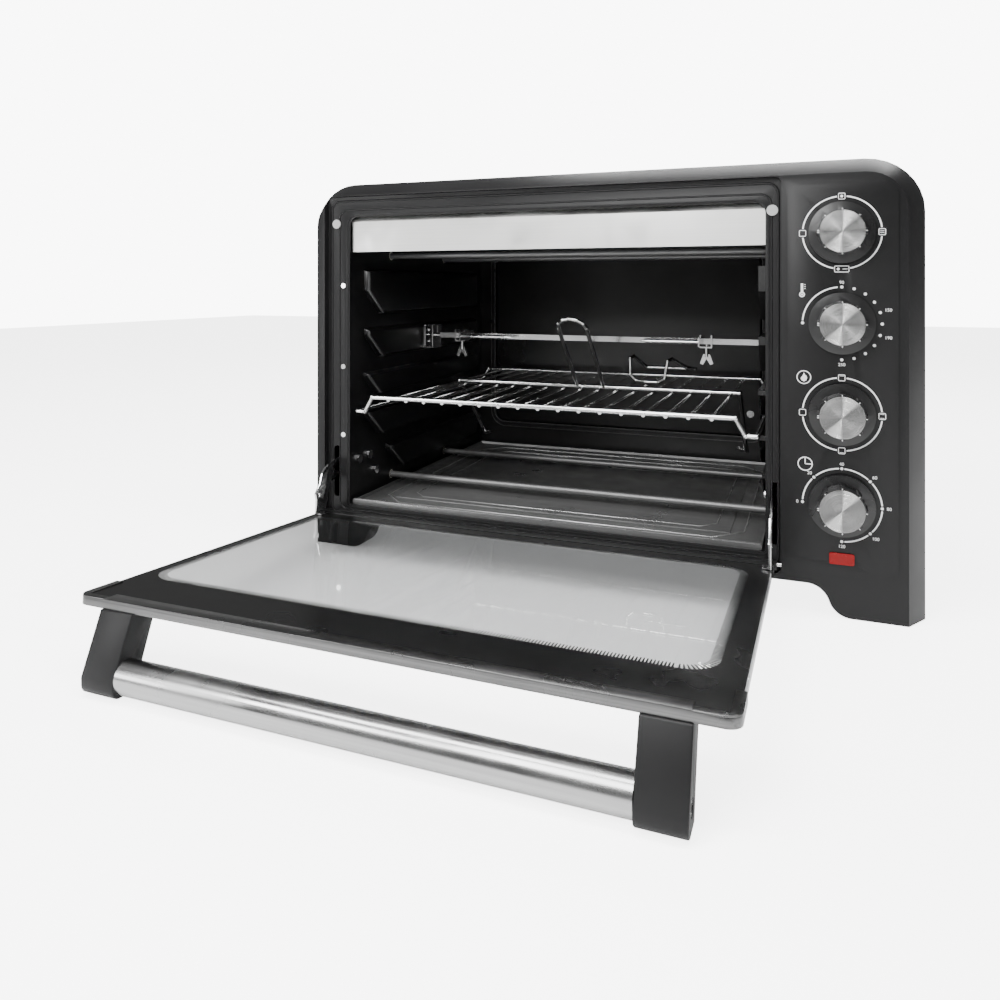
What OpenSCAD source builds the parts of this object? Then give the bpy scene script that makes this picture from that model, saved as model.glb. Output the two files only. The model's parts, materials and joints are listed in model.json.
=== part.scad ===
// Rotisserie oven, countertop size, with a drop-down glass door, wire rack,
// motor-driven spit, crumb tray and four turning controls.
// Millimetres. +Z up, front towards -Y, door drawn open.

/* [Body] */
// width over the front frame
body_width = 575; // [520:1:690]
// height from the table to the top of the frame
body_height = 376; // [330:1:451]
// depth from the frame's front face to the back cover
body_depth = 400; // [340:1:480]
// depth of the front frame
frame_depth = 24; // [20:1:30]
// width of the bevel round the frame's front face
frame_bevel = 13.7; // [8:0.1:16]
// corner radius of the body outline
corner_radius = 45; // [25:1:55]
// wall thickness of the front frame
frame_wall = 2.5; // [2:0.1:4]
// height of the frame's lower edge above the table
foot_height = 25; // [22:1:30]
// length of the curve from foot to lower edge
foot_curve = 34; // [28:1:45]
// width of each front foot where it stands
foot_width = 38.5; // [30:0.5:50]
// thickness of the outer cover sheet
cover_thickness = 1; // [0.8:0.1:1.5]
// gap between the cavity back wall and the back cover
back_gap = 16; // [12:1:30]

/* [Cavity] */
// left wall's inner face, from the body's left side
cavity_inset_left = 43.5; // [42:0.5:60]
// right wall's inner face, from the body's right side
panel_zone = 121.5; // [110:0.5:140]
// height of the cavity floor above the table
cavity_floor_z = 44; // [42:1:48]
// gap from the cavity ceiling to the top of the body
cavity_top_gap = 31; // [28:1:45]
// thickness of the cavity sheets
sheet = 1; // [0.8:0.1:1.2]
// depth of the pressed guide bands on the side walls
band_depth = 8; // [6:0.5:10]
// front end of the guide bands behind the frame face
band_front = 43; // [35:1:60]
// gap from the rear end of the guide bands to the back wall
band_rear_gap = 28; // [15:1:40]
// height of the grooves between the guide bands
groove_height = 14.5; // [12:0.5:16]
// lower edge of the lowest band, share of the cavity height
bands_low = 0.06; // [0.05:0.005:0.08]
// upper edge of the highest band, share of the cavity height
bands_high = 0.81; // [0.78:0.005:0.82]
// first groove, share of the cavity height
groove_1 = 0.184; // [0.17:0.001:0.2]
// second groove, share of the cavity height
groove_2 = 0.332; // [0.31:0.001:0.35]
// third groove, share of the cavity height
groove_3 = 0.465; // [0.45:0.001:0.48]
// fourth groove, share of the cavity height
groove_4 = 0.624; // [0.61:0.001:0.64]

/* [Heaters] */
// diameter of the heater tubes
heater_d = 7; // [6:0.5:8]
// height of the lower heaters above the cavity floor
heater_low = 11; // [11:0.5:12]
// gap from the upper heaters to the cavity ceiling
heater_high = 41; // [34:1:44]
// front heaters behind the frame face
heater_front_y = 108; // [95:1:115]
// rear heaters behind the frame face
heater_rear_y = 256; // [240:1:262]

/* [Door] */
// opening angle from closed
door_angle = 86.6; // [80:0.1:90]
// door thickness over the trim
door_thickness = 6.5; // [6:0.1:7]
// trim sheet thickness
trim_sheet = 0.8; // [0.6:0.1:1]
// width of the trim at the free edge
trim_width = 12; // [10:0.5:16]
// hinge pin diameter
pin_d = 4; // [3:0.5:4.5]
// radial clearance of every turning fit
turn_clearance = 0.05; // [0.02:0.01:0.1]
// handle bar diameter
bar_d = 23; // [18:0.5:23]
// width of each handle post
post_width = 27.5; // [18:0.5:30]
// handle post's outer face, from the door's side edge
post_inset = 23; // [16:0.5:60]

/* [Rack and tray] */
// frame wire diameter of the rack
rack_wire = 5; // [4:0.5:5.5]
// diameter of the rack's bars
rack_bar = 3.5; // [3:0.5:4]
// number of bars
rack_bars = 17; // [11:2:21]
// height of the raised rack floor over its side rails
rack_rise = 15; // [12:0.5:16]
// height of the crumb tray's front lip
tray_lip = 6; // [4:0.5:7]

/* [Spit] */
// width of the square spit rod
spit_width = 6; // [5:0.5:7]
// spit axis, share of the cavity height
spit_height = 0.5515; // [0.54:0.0005:0.56]
// spit axis behind the frame face
spit_y = 192; // [180:1:196]
// spacing of the prongs on each fork
fork_spacing = 34; // [26:1:40]
// length of the fork prongs
prong_length = 58; // [40:1:80]

/* [Controls] */
// diameter of the knob grips
knob_d = 37; // [30:0.5:40]
// diameter of the knob skirts
skirt_d = 50; // [44:0.5:54]
// how far the knobs stand out of the panel
knob_height = 22; // [18:0.5:26]
// diameter of the control shafts
shaft_d = 6; // [5:0.5:7]
// spacing of the knobs, share of the body height
knob_pitch_share = 0.1963; // [0.18:0.0001:0.2]
// fan blade diameter
fan_d = 96; // [80:1:104]

/* [Hidden] */
$fn = 48;
hull_fn = 32;

black = [0.06, 0.06, 0.065];
steel = [0.78, 0.78, 0.77];
grey = [0.45, 0.45, 0.46];
white = [0.88, 0.88, 0.86];

// overshoot of every cut
over = 0.5;
// edge of the front frame's solid floor behind the door
recess = 8;
floor_y = recess + frame_wall;
// cavity box
cav_l = cavity_inset_left;
cav_r = body_width - panel_zone;
cav_w = cav_r - cav_l;
cav_z0 = cavity_floor_z;
cav_z1 = body_height - cavity_top_gap;
cav_h = cav_z1 - cav_z0;
cav_y1 = body_depth - back_gap - cover_thickness;
// opening in the frame, a little inside the guide bands
open_l = cav_l + 4;
open_z1 = cav_z1 - 4;
open_radius = 9;
low_radius = 1.9;
// recess that takes the closed door
rec_l = 22.5;
rec_r = cav_r + 13;
rec_z0 = 29.5;
rec_z1 = body_height - frame_bevel - 0.7;
// guide bands and grooves
band_y0 = band_front;
band_y1 = cav_y1 - band_rear_gap;
band_lo = cav_z0 + bands_low * cav_h;
band_hi = cav_z0 + bands_high * cav_h;
grooves = [for (g = [groove_1, groove_2, groove_3, groove_4]) cav_z0 + g * cav_h];
band_corner = 26;
// slots for the hinge plates
slot_w = 7.6;
slot_l = 29;
slot_r = cav_r + 3.7;
slot_z0 = 51;
slot_z1 = 104;
// door pivot
piv_y = 3;
piv_z = 36;
door_l = rec_l + 2.5;
door_r = rec_r - 5;
door_out = -0.4;
door_in = door_out + door_thickness;
door_z0 = piv_z + 5.2;
door_z1 = rec_z1 - 1.9;
glass_out = door_out + trim_sheet;
glass_in = door_in - trim_sheet;
door_radius = 8.8;
glass_radius = 8;
// corner clips, and the gap they fill in the trim's inner flange
clip_w = 6;
clip_len = 36;
flange_gap = 24;
rail_w = 12;
lug_r = 3.2;
pin_reach = 6;
plate_t = 2;
plate_l = 30.5;
plate_r = rec_r - 8.5;
// tabs that hold the hinge plates to the door
tab_w = 5;
tab_t = 1;
// handle, in the open position
open_slope = 90 - door_angle;
end_y = piv_y - (door_z1 - piv_z) * cos(open_slope);
end_z = piv_z + (door_z1 - piv_z) * sin(open_slope);
bar_y = end_y - 6.2;
bar_z = bar_d / 2 + 1.6;
post_low = 1;
post_depth = 25;
post_foot = 7;
post_l = door_l + post_inset;
post_r = door_r - post_inset;
handle_front = bar_y - bar_z + post_low;
screw_d = 5;
screw_head_d = 9;
// depth of the heads in the posts and length inside the bar
screw_sink = 4;
screw_grip = 20;
// controls
pad_l = cav_r + 17.5;
pad_r = body_width - 21;
pad_rise = 1.2;
pad_margin = 21.6;
pad_z0 = rec_z0 + 4.8;
knob_x = (pad_l + pad_r) / 2;
knob_pitch = body_height * knob_pitch_share;
knob_top = body_height - 62.6;
function knob_z(i) = knob_top - i * knob_pitch;
skirt_gap = 0.6;
skirt_t = 4;
cap_d = knob_d - 3.6;
cap_t = 0.8;
shaft_end = 22;
rib_count = 8;
rib_t = 2.2;
rib_w = 4.8;
// lamp
lamp_w = 18.8;
lamp_h = 9.3;
lamp_z = 43.7;
lamp_t = 1.2;
lamp_edge = 1.5;
// weld beads at wire bends
bead = 0.3;
// wires of the rack
rail_z = grooves[1] - groove_height / 2 + rack_wire / 2 + bead;
deck_z = rail_z + rack_rise;
// bars welded a little below the end wires, their ends just showing
bar_drop = 1.6;
bar_end = 2.2;
bars_z = deck_z - bar_drop;
rack_l = open_l + 1 + rack_wire / 2;
rack_r = cav_r - (rack_l - cav_l);
rack_y0 = 17.6;
rack_y1 = cav_y1 - 31.4;
bend_l = rack_l + 9;
deck_l = bend_l + 8.6;
bend_r = rack_r - 9;
deck_r = bend_r - 8.6;
bar_pitch = (deck_r - deck_l) / (rack_bars + 1);
bar_x0 = deck_l + bar_pitch;
// spit
spit_z = cav_z0 + spit_height * cav_h;
neck_d = 5;
bracket_x = cav_l + 18.5;
spit_tip = bracket_x - 8.5;
socket_x = cav_r - 17;
socket_d = 16;
socket_gap = 1;
drive_d = 8;
fork_l = cav_l + 56;
fork_r = cav_r - 74;
fork_t = 3;
fork_block = 10;
fork_sheet = 1.5;
prong_d = 4;
thumb_d = 4;
thumb_reach = 17;
thumb_x = -3.5;
// wall bolts, bracket rivets and frame screws
bolt_d = 4;
bolt_points = [[34, 86.6], [55.8, 87], [70, 68]];
rivet_d = 3;
rivet_heights = [spit_z - 8, spit_z + 6];
screw_x = cav_l - 2.7;
screw_heights = [for (g = [0.239, 0.473, 0.751]) cav_z0 + g * cav_h];
// raised middle of the cavity's back wall, and its bolt
panel_rise = 4;
panel_margin = 24;
panel_low = 33;
panel_top = 32;
panel_radius = 15;
back_bolt_x = cav_r - 39;
back_bolt_z = cav_z0 + 63;
// door bumpers
bumper_d = 9.2;
bumper_t = 1.8;
bumpers = [rec_l + 10.3, rec_r - 7.5];
bumper_z = open_z1 - 7;
// heaters
heat_z0 = cav_z0 + heater_low;
heat_z1 = cav_z1 - heater_high;
insul_d = 14;
spigot_d = 10;
insul_t = 4;
heater_end = 10;
// convection fan on the outside of the right wall
fan_y = 300;
fan_z = cav_z0 + 0.625 * cav_h;
dish_d = 124;
dish_t = 27;
fan_shaft_d = 5;
fan_hub_d = 16;
// spit gear motor
gear_y = 54;
gear_z = 65;
gear_t = 34;
// outer cover
cov = 1.5;
cov_z0 = 14;
cov_y1 = body_depth - cover_thickness;
plate_z = foot_height;
gland_d = 18;
gland_out = 10;
gland_x = body_width - 60;
gland_z = 70;
rear_foot_d = 30;
// vents and screws of the cover
vent_w = 4;
vent_pitch = 15;
vent_rows = 9;
side_vents = 8;
floor_vents = 9;
back_vent_x = 90;
cover_screw_points = [for (y = [60, cov_y1 - 20]) for (z = [40, body_height - 80]) [y, z]];
// spit lifter standing on the rack
lift_d = 5;
loop_d = 4.4;
lift_l = deck_l + 1.5 * bar_pitch;
lift_r = deck_r - bar_pitch / 2;
lift_y = 178;
lift_z = bars_z + rack_bar / 2 + lift_d / 2;
lift_tilt = 48;
lift_leg = 112;
lift_loop = 118;
loop_half = 15;
// tray handle lying on the rack
grab_y = 250;
grab_rise = 27;
grab_len = 72;
grab_width = 22;
grab_d = 4;
grab_x = deck_l + 0.61 * (deck_r - deck_l);
// middle of the whole box front to back, door open
y_mid = (body_depth + gland_out + handle_front) / 2;

module placed() {
  translate([-body_width / 2, -y_mid, 0]) children();
}

// shape drawn in X and Z, thickened from y0 to y1
module slab(y0, y1) {
  translate([0, y1, 0]) rotate([90, 0, 0]) linear_extrude(height = y1 - y0) children();
}

// shape drawn in Y and Z, thickened from x0 to x1
module side(x0, x1) {
  translate([x0, 0, 0]) rotate([90, 0, 90]) linear_extrude(height = x1 - x0) children();
}

module box(p, q) {
  translate(p) cube(q - p);
}

// round bar along X
module bar_along_x(x0, x1, y, z, d) {
  translate([x0, y, z]) rotate([0, 90, 0]) cylinder(h = x1 - x0, d = d);
}

// round bar along Y
module bar_along_y(y0, y1, x, z, d) {
  translate([x, y1, z]) rotate([90, 0, 0]) cylinder(h = y1 - y0, d = d);
}

// straight wire between two points
module wire(p, q, d) {
  v = q - p;
  len = norm(v);
  translate(p) rotate([0, acos(v[2] / len), atan2(v[1], v[0])]) cylinder(h = len, d = d);
}

// bent wire with a bead at every bend
module wire_path(pts, d) {
  for (i = [0 : len(pts) - 2]) wire(pts[i], pts[i + 1], d);
  for (i = [1 : len(pts) - 2]) translate(pts[i]) rotate([0, 90, 0]) sphere(d = d + 2 * bead);
}

// rectangle with round corners, built from exact circles
module round_rect(x0, z0, x1, z1, r) {
  translate([x0 + r, z0]) square([x1 - x0 - 2 * r, z1 - z0]);
  translate([x0, z0 + r]) square([x1 - x0, z1 - z0 - 2 * r]);
  for (x = [x0 + r, x1 - r]) for (z = [z0 + r, z1 - r]) translate([x, z]) circle(r = r);
}

function arc(cx, cz, r, a0, a1, n) =
  [for (i = [0 : n]) [cx + r * cos(a0 + (a1 - a0) * i / n), cz + r * sin(a0 + (a1 - a0) * i / n)]];

// space under the frame between the feet, with an S curve at each end
module foot_space() {
  r = (foot_curve * foot_curve + foot_height * foot_height) / (4 * foot_height);
  a = asin(foot_curve / (2 * r));
  x0 = 16.5 + foot_width;
  x1 = body_width - x0;
  polygon(concat([[x0, -over]],
    arc(x0, r, r, -90, -90 + a, 10),
    arc(x0 + foot_curve, foot_height - r, r, 90 + a, 90, 10),
    arc(x1 - foot_curve, foot_height - r, r, 90, 90 - a, 10),
    arc(x1, r, r, -90 - a, -90, 10),
    [[x1, -over]]));
}

module slot_shape(x0, w, z0, z1) {
  translate([x0, z0 + w / 2]) square([w, z1 - z0 - w]);
  for (z = [z0 + w / 2, z1 - w / 2]) translate([x0 + w / 2, z]) circle(d = w);
}

// window of the lamp, smaller by inset on every side
module lamp_shape(inset, r) {
  round_rect(knob_x - lamp_w / 2 + inset, lamp_z + inset,
    knob_x + lamp_w / 2 - inset, lamp_z + lamp_h - inset, r);
}

module frame_outline(inset, r) {
  translate([inset, 0]) square([body_width - 2 * inset, body_height / 2]);
  for (x = [inset + r, body_width - inset - r])
    translate([x, body_height - inset - r]) circle(r = r, $fn = hull_fn);
}

// cavity opening, g larger at the left, top and bottom and g_right larger at the right
module opening_shape(g, g_right) {
  round_rect(open_l - g, cav_z0 - g, cav_r + g_right, open_z1 + g, open_radius + g);
  // tighter lower corners let the crumb tray through
  round_rect(open_l - g, cav_z0 - g, cav_r + g_right, cav_z0 + 3 * open_radius, low_radius + g);
}

module front_frame() {
  color(black) placed() difference() {
    union() {
      hull() {
        slab(0, over) frame_outline(frame_bevel, corner_radius - frame_bevel);
        slab(frame_depth - over, frame_depth) frame_outline(0, corner_radius);
      }
      slab(-pad_rise, over) round_rect(pad_l, pad_z0, pad_r, body_height - pad_margin, 12);
    }
    slab(-over, frame_depth + over) foot_space();
    // recess for the closed door
    slab(-over, recess) round_rect(rec_l, rec_z0, rec_r, rec_z1, 6);
    // hollow behind the door zone
    slab(floor_y, frame_depth + over)
      round_rect(frame_bevel - 1.7, foot_height + 3, rec_r + 1.5, body_height - 12, 32);
    // hollow behind the controls
    slab(frame_wall, frame_depth + over)
      round_rect(rec_r + 6, foot_height + 3, body_width - 16, body_height - 18, 30);
    // cavity opening
    slab(0, frame_depth) opening_shape(0, 0);
    slab(0, frame_depth) {
      slot_shape(slot_l, slot_w, slot_z0, slot_z1);
      slot_shape(slot_r, slot_w, slot_z0, slot_z1);
    }
    // hinge pin holes
    bar_along_x(rec_l - pin_reach, rec_l + over, piv_y, piv_z, pin_d + 2 * turn_clearance);
    bar_along_x(rec_r - over, rec_r + pin_reach, piv_y, piv_z, pin_d + 2 * turn_clearance);
    // holes for the control shafts
    for (i = [0 : 3])
      bar_along_y(-pad_rise - over, frame_wall + over, knob_x, knob_z(i), shaft_d + 3);
    slab(-pad_rise - over, frame_wall + over) lamp_shape(lamp_edge, 1);
    for (z = screw_heights) bar_along_y(recess - over, floor_y + over, screw_x, z, 3);
  }
  // raised bead round the opening
  color(black) placed() slab(recess - 0.8, recess) difference() {
    opening_shape(4.2, 2.8);
    opening_shape(1.8, 1.2);
    // room for the door bumpers
    for (x = bumpers) translate([x, bumper_z]) circle(d = bumper_d + 0.4);
  }
}

// outline of the cover, t inside its outer face, running on below the lower edge
module cover_shape(t) {
  round_rect(cov + t, cov_z0 - corner_radius - t, body_width - cov - t, body_height - cov - t,
    corner_radius - cov - t);
}

module cover_ring(t0, t1) {
  difference() {
    cover_shape(t0);
    cover_shape(t1);
    translate([0, cov_z0 - 2 * corner_radius]) square([body_width, 2 * corner_radius]);
  }
}

module outer_cover() {
  color(black) placed() difference() {
    slab(frame_depth, cov_y1) cover_ring(0, cover_thickness);
    // vents in both sides
    for (i = [0 : side_vents - 1]) {
      y = body_depth - 150 + i * vent_pitch;
      box([-over, y, 90], [body_width + over, y + vent_w, 150]);
    }
    for (p = cover_screw_points)
      bar_along_x(-over, body_width + over, p[0], p[1], bolt_d);
  }
}

module back_cover() {
  color(black) placed() difference() {
    slab(cov_y1, body_depth)
      intersection() {
        cover_shape(0);
        translate([0, cov_z0]) square([body_width, body_height]);
      }
    for (i = [0 : vent_rows]) {
      x = back_vent_x + i * vent_pitch;
      box([x, cov_y1 - over, body_height - 110], [x + vent_w, body_depth + over, body_height - 60]);
    }
    bar_along_y(cov_y1 - over, body_depth + over, gland_x, gland_z, gland_d);
  }
}

module bottom_plate() {
  color(grey) placed() difference() {
    box([cov + cover_thickness, frame_depth, plate_z],
      [body_width - cov - cover_thickness, cov_y1, plate_z + sheet]);
    for (i = [0 : floor_vents - 1]) {
      x = 110 + i * 40;
      box([x, 120, plate_z - over], [x + 6, 200, plate_z + sheet + over]);
    }
  }
}

// five pressed bands between the grooves, grown by g on every side
module bands(g) {
  tops = concat([for (z = grooves) z - groove_height / 2], [band_hi]);
  lows = concat([band_lo], [for (z = grooves) z + groove_height / 2]);
  for (i = [0 : 4]) {
    y0 = (i == 0 ? band_y0 + 50 : band_y0) + g;
    y1 = band_y1 - g;
    z0 = lows[i] + g;
    z1 = tops[i] - g;
    c = min(band_corner, z1 - z0 - 4);
    polygon([[y0, z1], [y0, z0 + c], [y0 + c * 1.2, z0], [y1 - 8, z0], [y1, z0 + 8],
      [y1, z1 - 4], [y1 - 4, z1]]);
  }
}

// side wall seen from inside, standing at x = 0 with its bands towards +X
module side_wall() {
  difference() {
    union() {
      box([-sheet, floor_y, cav_z0 - sheet], [0, cav_y1, cav_z1 + sheet]);
      side(-sheet, band_depth) bands(0);
    }
    side(-sheet - over, band_depth - sheet) bands(sheet);
    for (y = [heater_front_y, heater_rear_y]) for (z = [heat_z0, heat_z1])
      bar_along_x(-sheet - over, over, y, z, spigot_d);
    for (p = bolt_points) bar_along_x(-sheet - over, over, p[0], p[1], bolt_d);
  }
}

module cavity_left_wall() {
  color(grey) placed() difference() {
    translate([cav_l, 0, 0]) side_wall();
    for (z = rivet_heights)
      bar_along_x(cav_l + band_depth - sheet - over, cav_l + band_depth + over, spit_y, z, rivet_d);
  }
}

// strip the frame's screws go into, along the left wall's front edge
module wall_flange() {
  color(grey) placed() difference() {
    box([cav_l - 5.5, floor_y, cav_z0 + 12], [cav_l - sheet, floor_y + sheet, open_z1]);
    for (z = screw_heights) bar_along_y(floor_y - over, floor_y + sheet + over, screw_x, z, 3);
  }
}

module cavity_right_wall() {
  color(grey) placed() difference() {
    translate([cav_r, 0, 0]) mirror([1, 0, 0]) side_wall();
    bar_along_x(cav_r - band_depth - over, cav_r + sheet + over, spit_y, spit_z, socket_d + 2 * socket_gap);
    // fan grille in the highest band
    for (i = [0 : 6])
      box([cav_r - band_depth - over, fan_y - 26 + i * 8, grooves[3] + 13],
        [cav_r - band_depth + sheet + over, fan_y - 22 + i * 8, band_hi - 12]);
  }
}

module cavity_ceiling() {
  color(grey) placed()
    box([cav_l, floor_y, cav_z1], [cav_r, cav_y1, cav_z1 + sheet]);
}

module cavity_floor() {
  color(grey) placed()
    box([cav_l, floor_y, cav_z0 - sheet], [cav_r, cav_y1, cav_z0]);
}

module back_panel_shape(g) {
  round_rect(cav_l + panel_margin + g, cav_z0 + panel_low + g,
    cav_r - panel_margin - g, cav_z1 - panel_top - g, panel_radius - g);
}

module cavity_back() {
  color(grey) placed() difference() {
    union() {
      slab(cav_y1, cav_y1 + sheet)
        translate([cav_l - sheet, cav_z0 - sheet]) square([cav_w + 2 * sheet, cav_h + 2 * sheet]);
      slab(cav_y1 - panel_rise, cav_y1 + over) back_panel_shape(0);
    }
    slab(cav_y1 - panel_rise + sheet, cav_y1 + sheet + over) back_panel_shape(sheet);
    bar_along_y(cav_y1 - panel_rise - over, cav_y1 + sheet + over, back_bolt_x, back_bolt_z, bolt_d);
  }
}

module reflector() {
  color(white) placed() side(open_l + 1, cav_r)
    polygon([[12.5, heat_z1 + 1], [13.5, heat_z1 + 1], [13.5, cav_z1 - 9], [18, cav_z1 - 1],
      [34, cav_z1 - 1], [34, cav_z1], [17.4, cav_z1], [12.5, cav_z1 - 8.8]]);
}

module heater_pair(z) {
  for (y = [heater_front_y, heater_rear_y]) {
    bar_along_x(cav_l - sheet - insul_t - 3, cav_r + sheet + insul_t + 3, y, z, heater_d);
    bar_along_x(cav_l - sheet - insul_t - heater_end, cav_r + sheet + insul_t + heater_end, y, z, 3);
  }
}

module upper_heaters() {
  color(grey) placed() heater_pair(heat_z1);
}

module lower_heaters() {
  color(grey) placed() heater_pair(heat_z0);
}

module heater_insulators() {
  color(white) placed()
    for (y = [heater_front_y, heater_rear_y]) for (z = [heat_z0, heat_z1]) for (s = [0, 1])
      translate([s == 0 ? cav_l : cav_r, y, z]) mirror([s, 0, 0]) rotate([0, -90, 0]) difference() {
        union() {
          translate([0, 0, sheet]) cylinder(h = insul_t, d = insul_d);
          cylinder(h = sheet + over, d = spigot_d);
        }
        translate([0, 0, -over]) cylinder(h = sheet + insul_t + 2 * over, d = heater_d);
      }
}

module spit_bracket() {
  x0 = cav_l + band_depth;
  color(steel) placed() difference() {
    union() {
      box([x0, spit_y - 12, spit_z - 14], [x0 + 1.5, spit_y + 12, spit_z + 12]);
      box([x0, spit_y - 12, spit_z - 15.5], [bracket_x + 0.75, spit_y + 12, spit_z - 14]);
      box([bracket_x - 0.75, spit_y - 12, spit_z - 15.5], [bracket_x + 0.75, spit_y + 12, spit_z + 12]);
    }
    bar_along_x(bracket_x - 2, bracket_x + 2, spit_y, spit_z, neck_d + 2 * turn_clearance);
    box([bracket_x - 2, spit_y - neck_d / 2 - turn_clearance, spit_z],
      [bracket_x + 2, spit_y + neck_d / 2 + turn_clearance, spit_z + 13]);
    for (z = rivet_heights) bar_along_x(x0 - over, x0 + 2, spit_y, z, 3);
  }
}

module spit_motor() {
  x0 = cav_r + sheet;
  color(grey) placed() difference() {
    union() {
      box([x0, spit_y - gear_y / 2, spit_z - gear_z / 2],
        [x0 + gear_t - 14, spit_y + gear_y / 2, spit_z + gear_z / 2]);
      bar_along_x(x0 + gear_t - 15, x0 + gear_t, spit_y, spit_z - 4, 48);
    }
    bar_along_x(x0 - over, x0 + 16, spit_y, spit_z, drive_d + 2 * turn_clearance);
  }
}

module fan_housing() {
  x0 = cav_r + sheet;
  color(grey) placed() difference() {
    union() {
      bar_along_x(x0, x0 + sheet, fan_y, fan_z, dish_d);
      bar_along_x(x0, x0 + dish_t, fan_y, fan_z, dish_d - 10);
    }
    bar_along_x(x0 - over, x0 + dish_t - sheet, fan_y, fan_z, dish_d - 12);
    bar_along_x(x0, x0 + dish_t + over, fan_y, fan_z, fan_shaft_d + 4);
  }
}

module fan_motor() {
  x0 = cav_r + sheet + dish_t;
  color(grey) placed() difference() {
    union() {
      bar_along_x(x0, x0 + 3, fan_y, fan_z, 44);
      bar_along_x(x0, x0 + 34, fan_y, fan_z, 36);
      box([x0 + 6, fan_y - 24, fan_z - 10], [x0 + 26, fan_y + 24, fan_z + 10]);
    }
    bar_along_x(x0 - over, x0 + 18, fan_y, fan_z, fan_shaft_d + 2 * turn_clearance);
  }
}

module fan_blade() {
  x0 = cav_r + sheet;
  color(steel) placed() {
    bar_along_x(x0 + 8, x0 + 22, fan_y, fan_z, fan_hub_d);
    bar_along_x(x0 + 22 - over, x0 + dish_t + 16, fan_y, fan_z, fan_shaft_d);
    translate([x0 + 15, fan_y, fan_z])
      for (a = [0 : 60 : 300]) rotate([a, 0, 0]) rotate([0, 0, 28])
        translate([-0.5, -9, fan_hub_d / 2 - 2]) cube([1, 18, fan_d / 2 - fan_hub_d / 2 - 2]);
  }
}

// control body behind the panel, shaft bore along Y
module control(i, w, h, d) {
  z = knob_z(i);
  difference() {
    union() {
      box([knob_x - w / 2, frame_wall, z - h / 2], [knob_x + w / 2, frame_wall + 1.5, z + h / 2]);
      translate([0, 0, z]) children();
    }
    bar_along_y(frame_wall - over, shaft_end + over, knob_x, z, shaft_d + 2 * turn_clearance);
  }
}

module mode_switch() {
  color(grey) placed() control(0, 46, 34, 30) {
    box([knob_x - 20, frame_wall, -15], [knob_x + 20, frame_wall + 32, 15]);
  }
}

module thermostat() {
  color(grey) placed() control(1, 50, 36, 26) {
    union() {
      box([knob_x - 22, frame_wall, -16], [knob_x + 22, frame_wall + 22, 16]);
      bar_along_y(frame_wall + 10, frame_wall + 34, knob_x, 0, 26);
    }
  }
}

module selector_switch() {
  color(grey) placed() control(2, 46, 34, 30) {
    bar_along_y(frame_wall, frame_wall + 30, knob_x, 0, 33);
  }
}

module timer() {
  color(grey) placed() control(3, 56, 44, 40) {
    bar_along_y(frame_wall, frame_wall + 38, knob_x, 0, 43);
  }
}

module lamp_lens() {
  color([0.7, 0.05, 0.04]) placed() {
    slab(-pad_rise - lamp_t, -pad_rise) lamp_shape(0, 1.5);
    slab(-pad_rise - over, frame_wall) lamp_shape(lamp_edge, 1);
  }
}

module lamp_housing() {
  color(white) placed()
    box([knob_x - lamp_w / 2 + 1, frame_wall, lamp_z],
      [knob_x + lamp_w / 2 - 1, frame_wall + 16, lamp_z + lamp_h]);
}

module hinge_brackets() {
  color(steel) placed() for (s = [0, 1])
    translate([s == 0 ? cav_l - sheet : cav_r + sheet, 0, 0]) mirror([s, 0, 0]) difference() {
      box([-2, frame_depth, 60], [0, frame_depth + 60, 96]);
      for (p = bolt_points) bar_along_x(-2 - over, over, p[0], p[1], bolt_d);
    }
}

module rear_feet() {
  color(black) placed() for (x = [50, body_width - 50]) translate([x, body_depth - 45, 0]) {
    cylinder(h = plate_z, d = rear_foot_d);
  }
}

module door_bumpers() {
  color(grey) placed() for (x = bumpers)
    bar_along_y(recess - bumper_t, recess, x, bumper_z, bumper_d);
}

module cavity_screws() {
  color(steel) placed() for (z = screw_heights) {
    bar_along_y(recess - 1.5, recess, screw_x, z, 5);
    bar_along_y(recess - over, floor_y + sheet + 2, screw_x, z, 3);
  }
}

module wall_bolts() {
  color(steel) placed() {
    for (s = [0, 1]) translate([s == 0 ? cav_l : cav_r, 0, 0]) mirror([s, 0, 0])
      for (p = bolt_points) {
        bar_along_x(0, 2.4, p[0], p[1], 9);
        bar_along_x(-sheet - 3, over, p[0], p[1], bolt_d);
      }
    bar_along_y(cav_y1 - panel_rise - 2.4, cav_y1 - panel_rise, back_bolt_x, back_bolt_z, 9);
    bar_along_y(cav_y1 - panel_rise - over, cav_y1 + sheet + 3, back_bolt_x, back_bolt_z, bolt_d);
    for (z = rivet_heights) {
      bar_along_x(cav_l + band_depth + 1.5, cav_l + band_depth + 3, spit_y, z, 6);
      bar_along_x(cav_l + band_depth - sheet - 2, cav_l + band_depth + 2, spit_y, z, 3);
    }
  }
}

module cover_screws() {
  color(steel) placed() for (s = [0, 1])
    translate([s == 0 ? cov : body_width - cov, 0, 0]) mirror([s, 0, 0])
    for (p = cover_screw_points) {
      bar_along_x(-1.4, 0, p[0], p[1], 8);
      bar_along_x(-over, 8, p[0], p[1], bolt_d);
    }
}

module cord_inlet() {
  color(black) placed() difference() {
    union() {
      bar_along_y(body_depth, body_depth + gland_out, gland_x, gland_z, gland_d + 6);
      bar_along_y(cov_y1 - 8, body_depth + over, gland_x, gland_z, gland_d);
    }
    bar_along_y(cov_y1 - 9, body_depth + gland_out + over, gland_x, gland_z, 8);
  }
}

module terminal_block() {
  color(white) placed()
    difference() {
      box([gland_x - 30, body_depth - 80, plate_z + sheet],
        [gland_x + 10, body_depth - 60, plate_z + sheet + 18]);
      for (i = [0 : 2])
        translate([gland_x - 22 + i * 12, body_depth - 70, plate_z + sheet + 6]) cylinder(h = 20, d = 6);
    }
}

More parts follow.
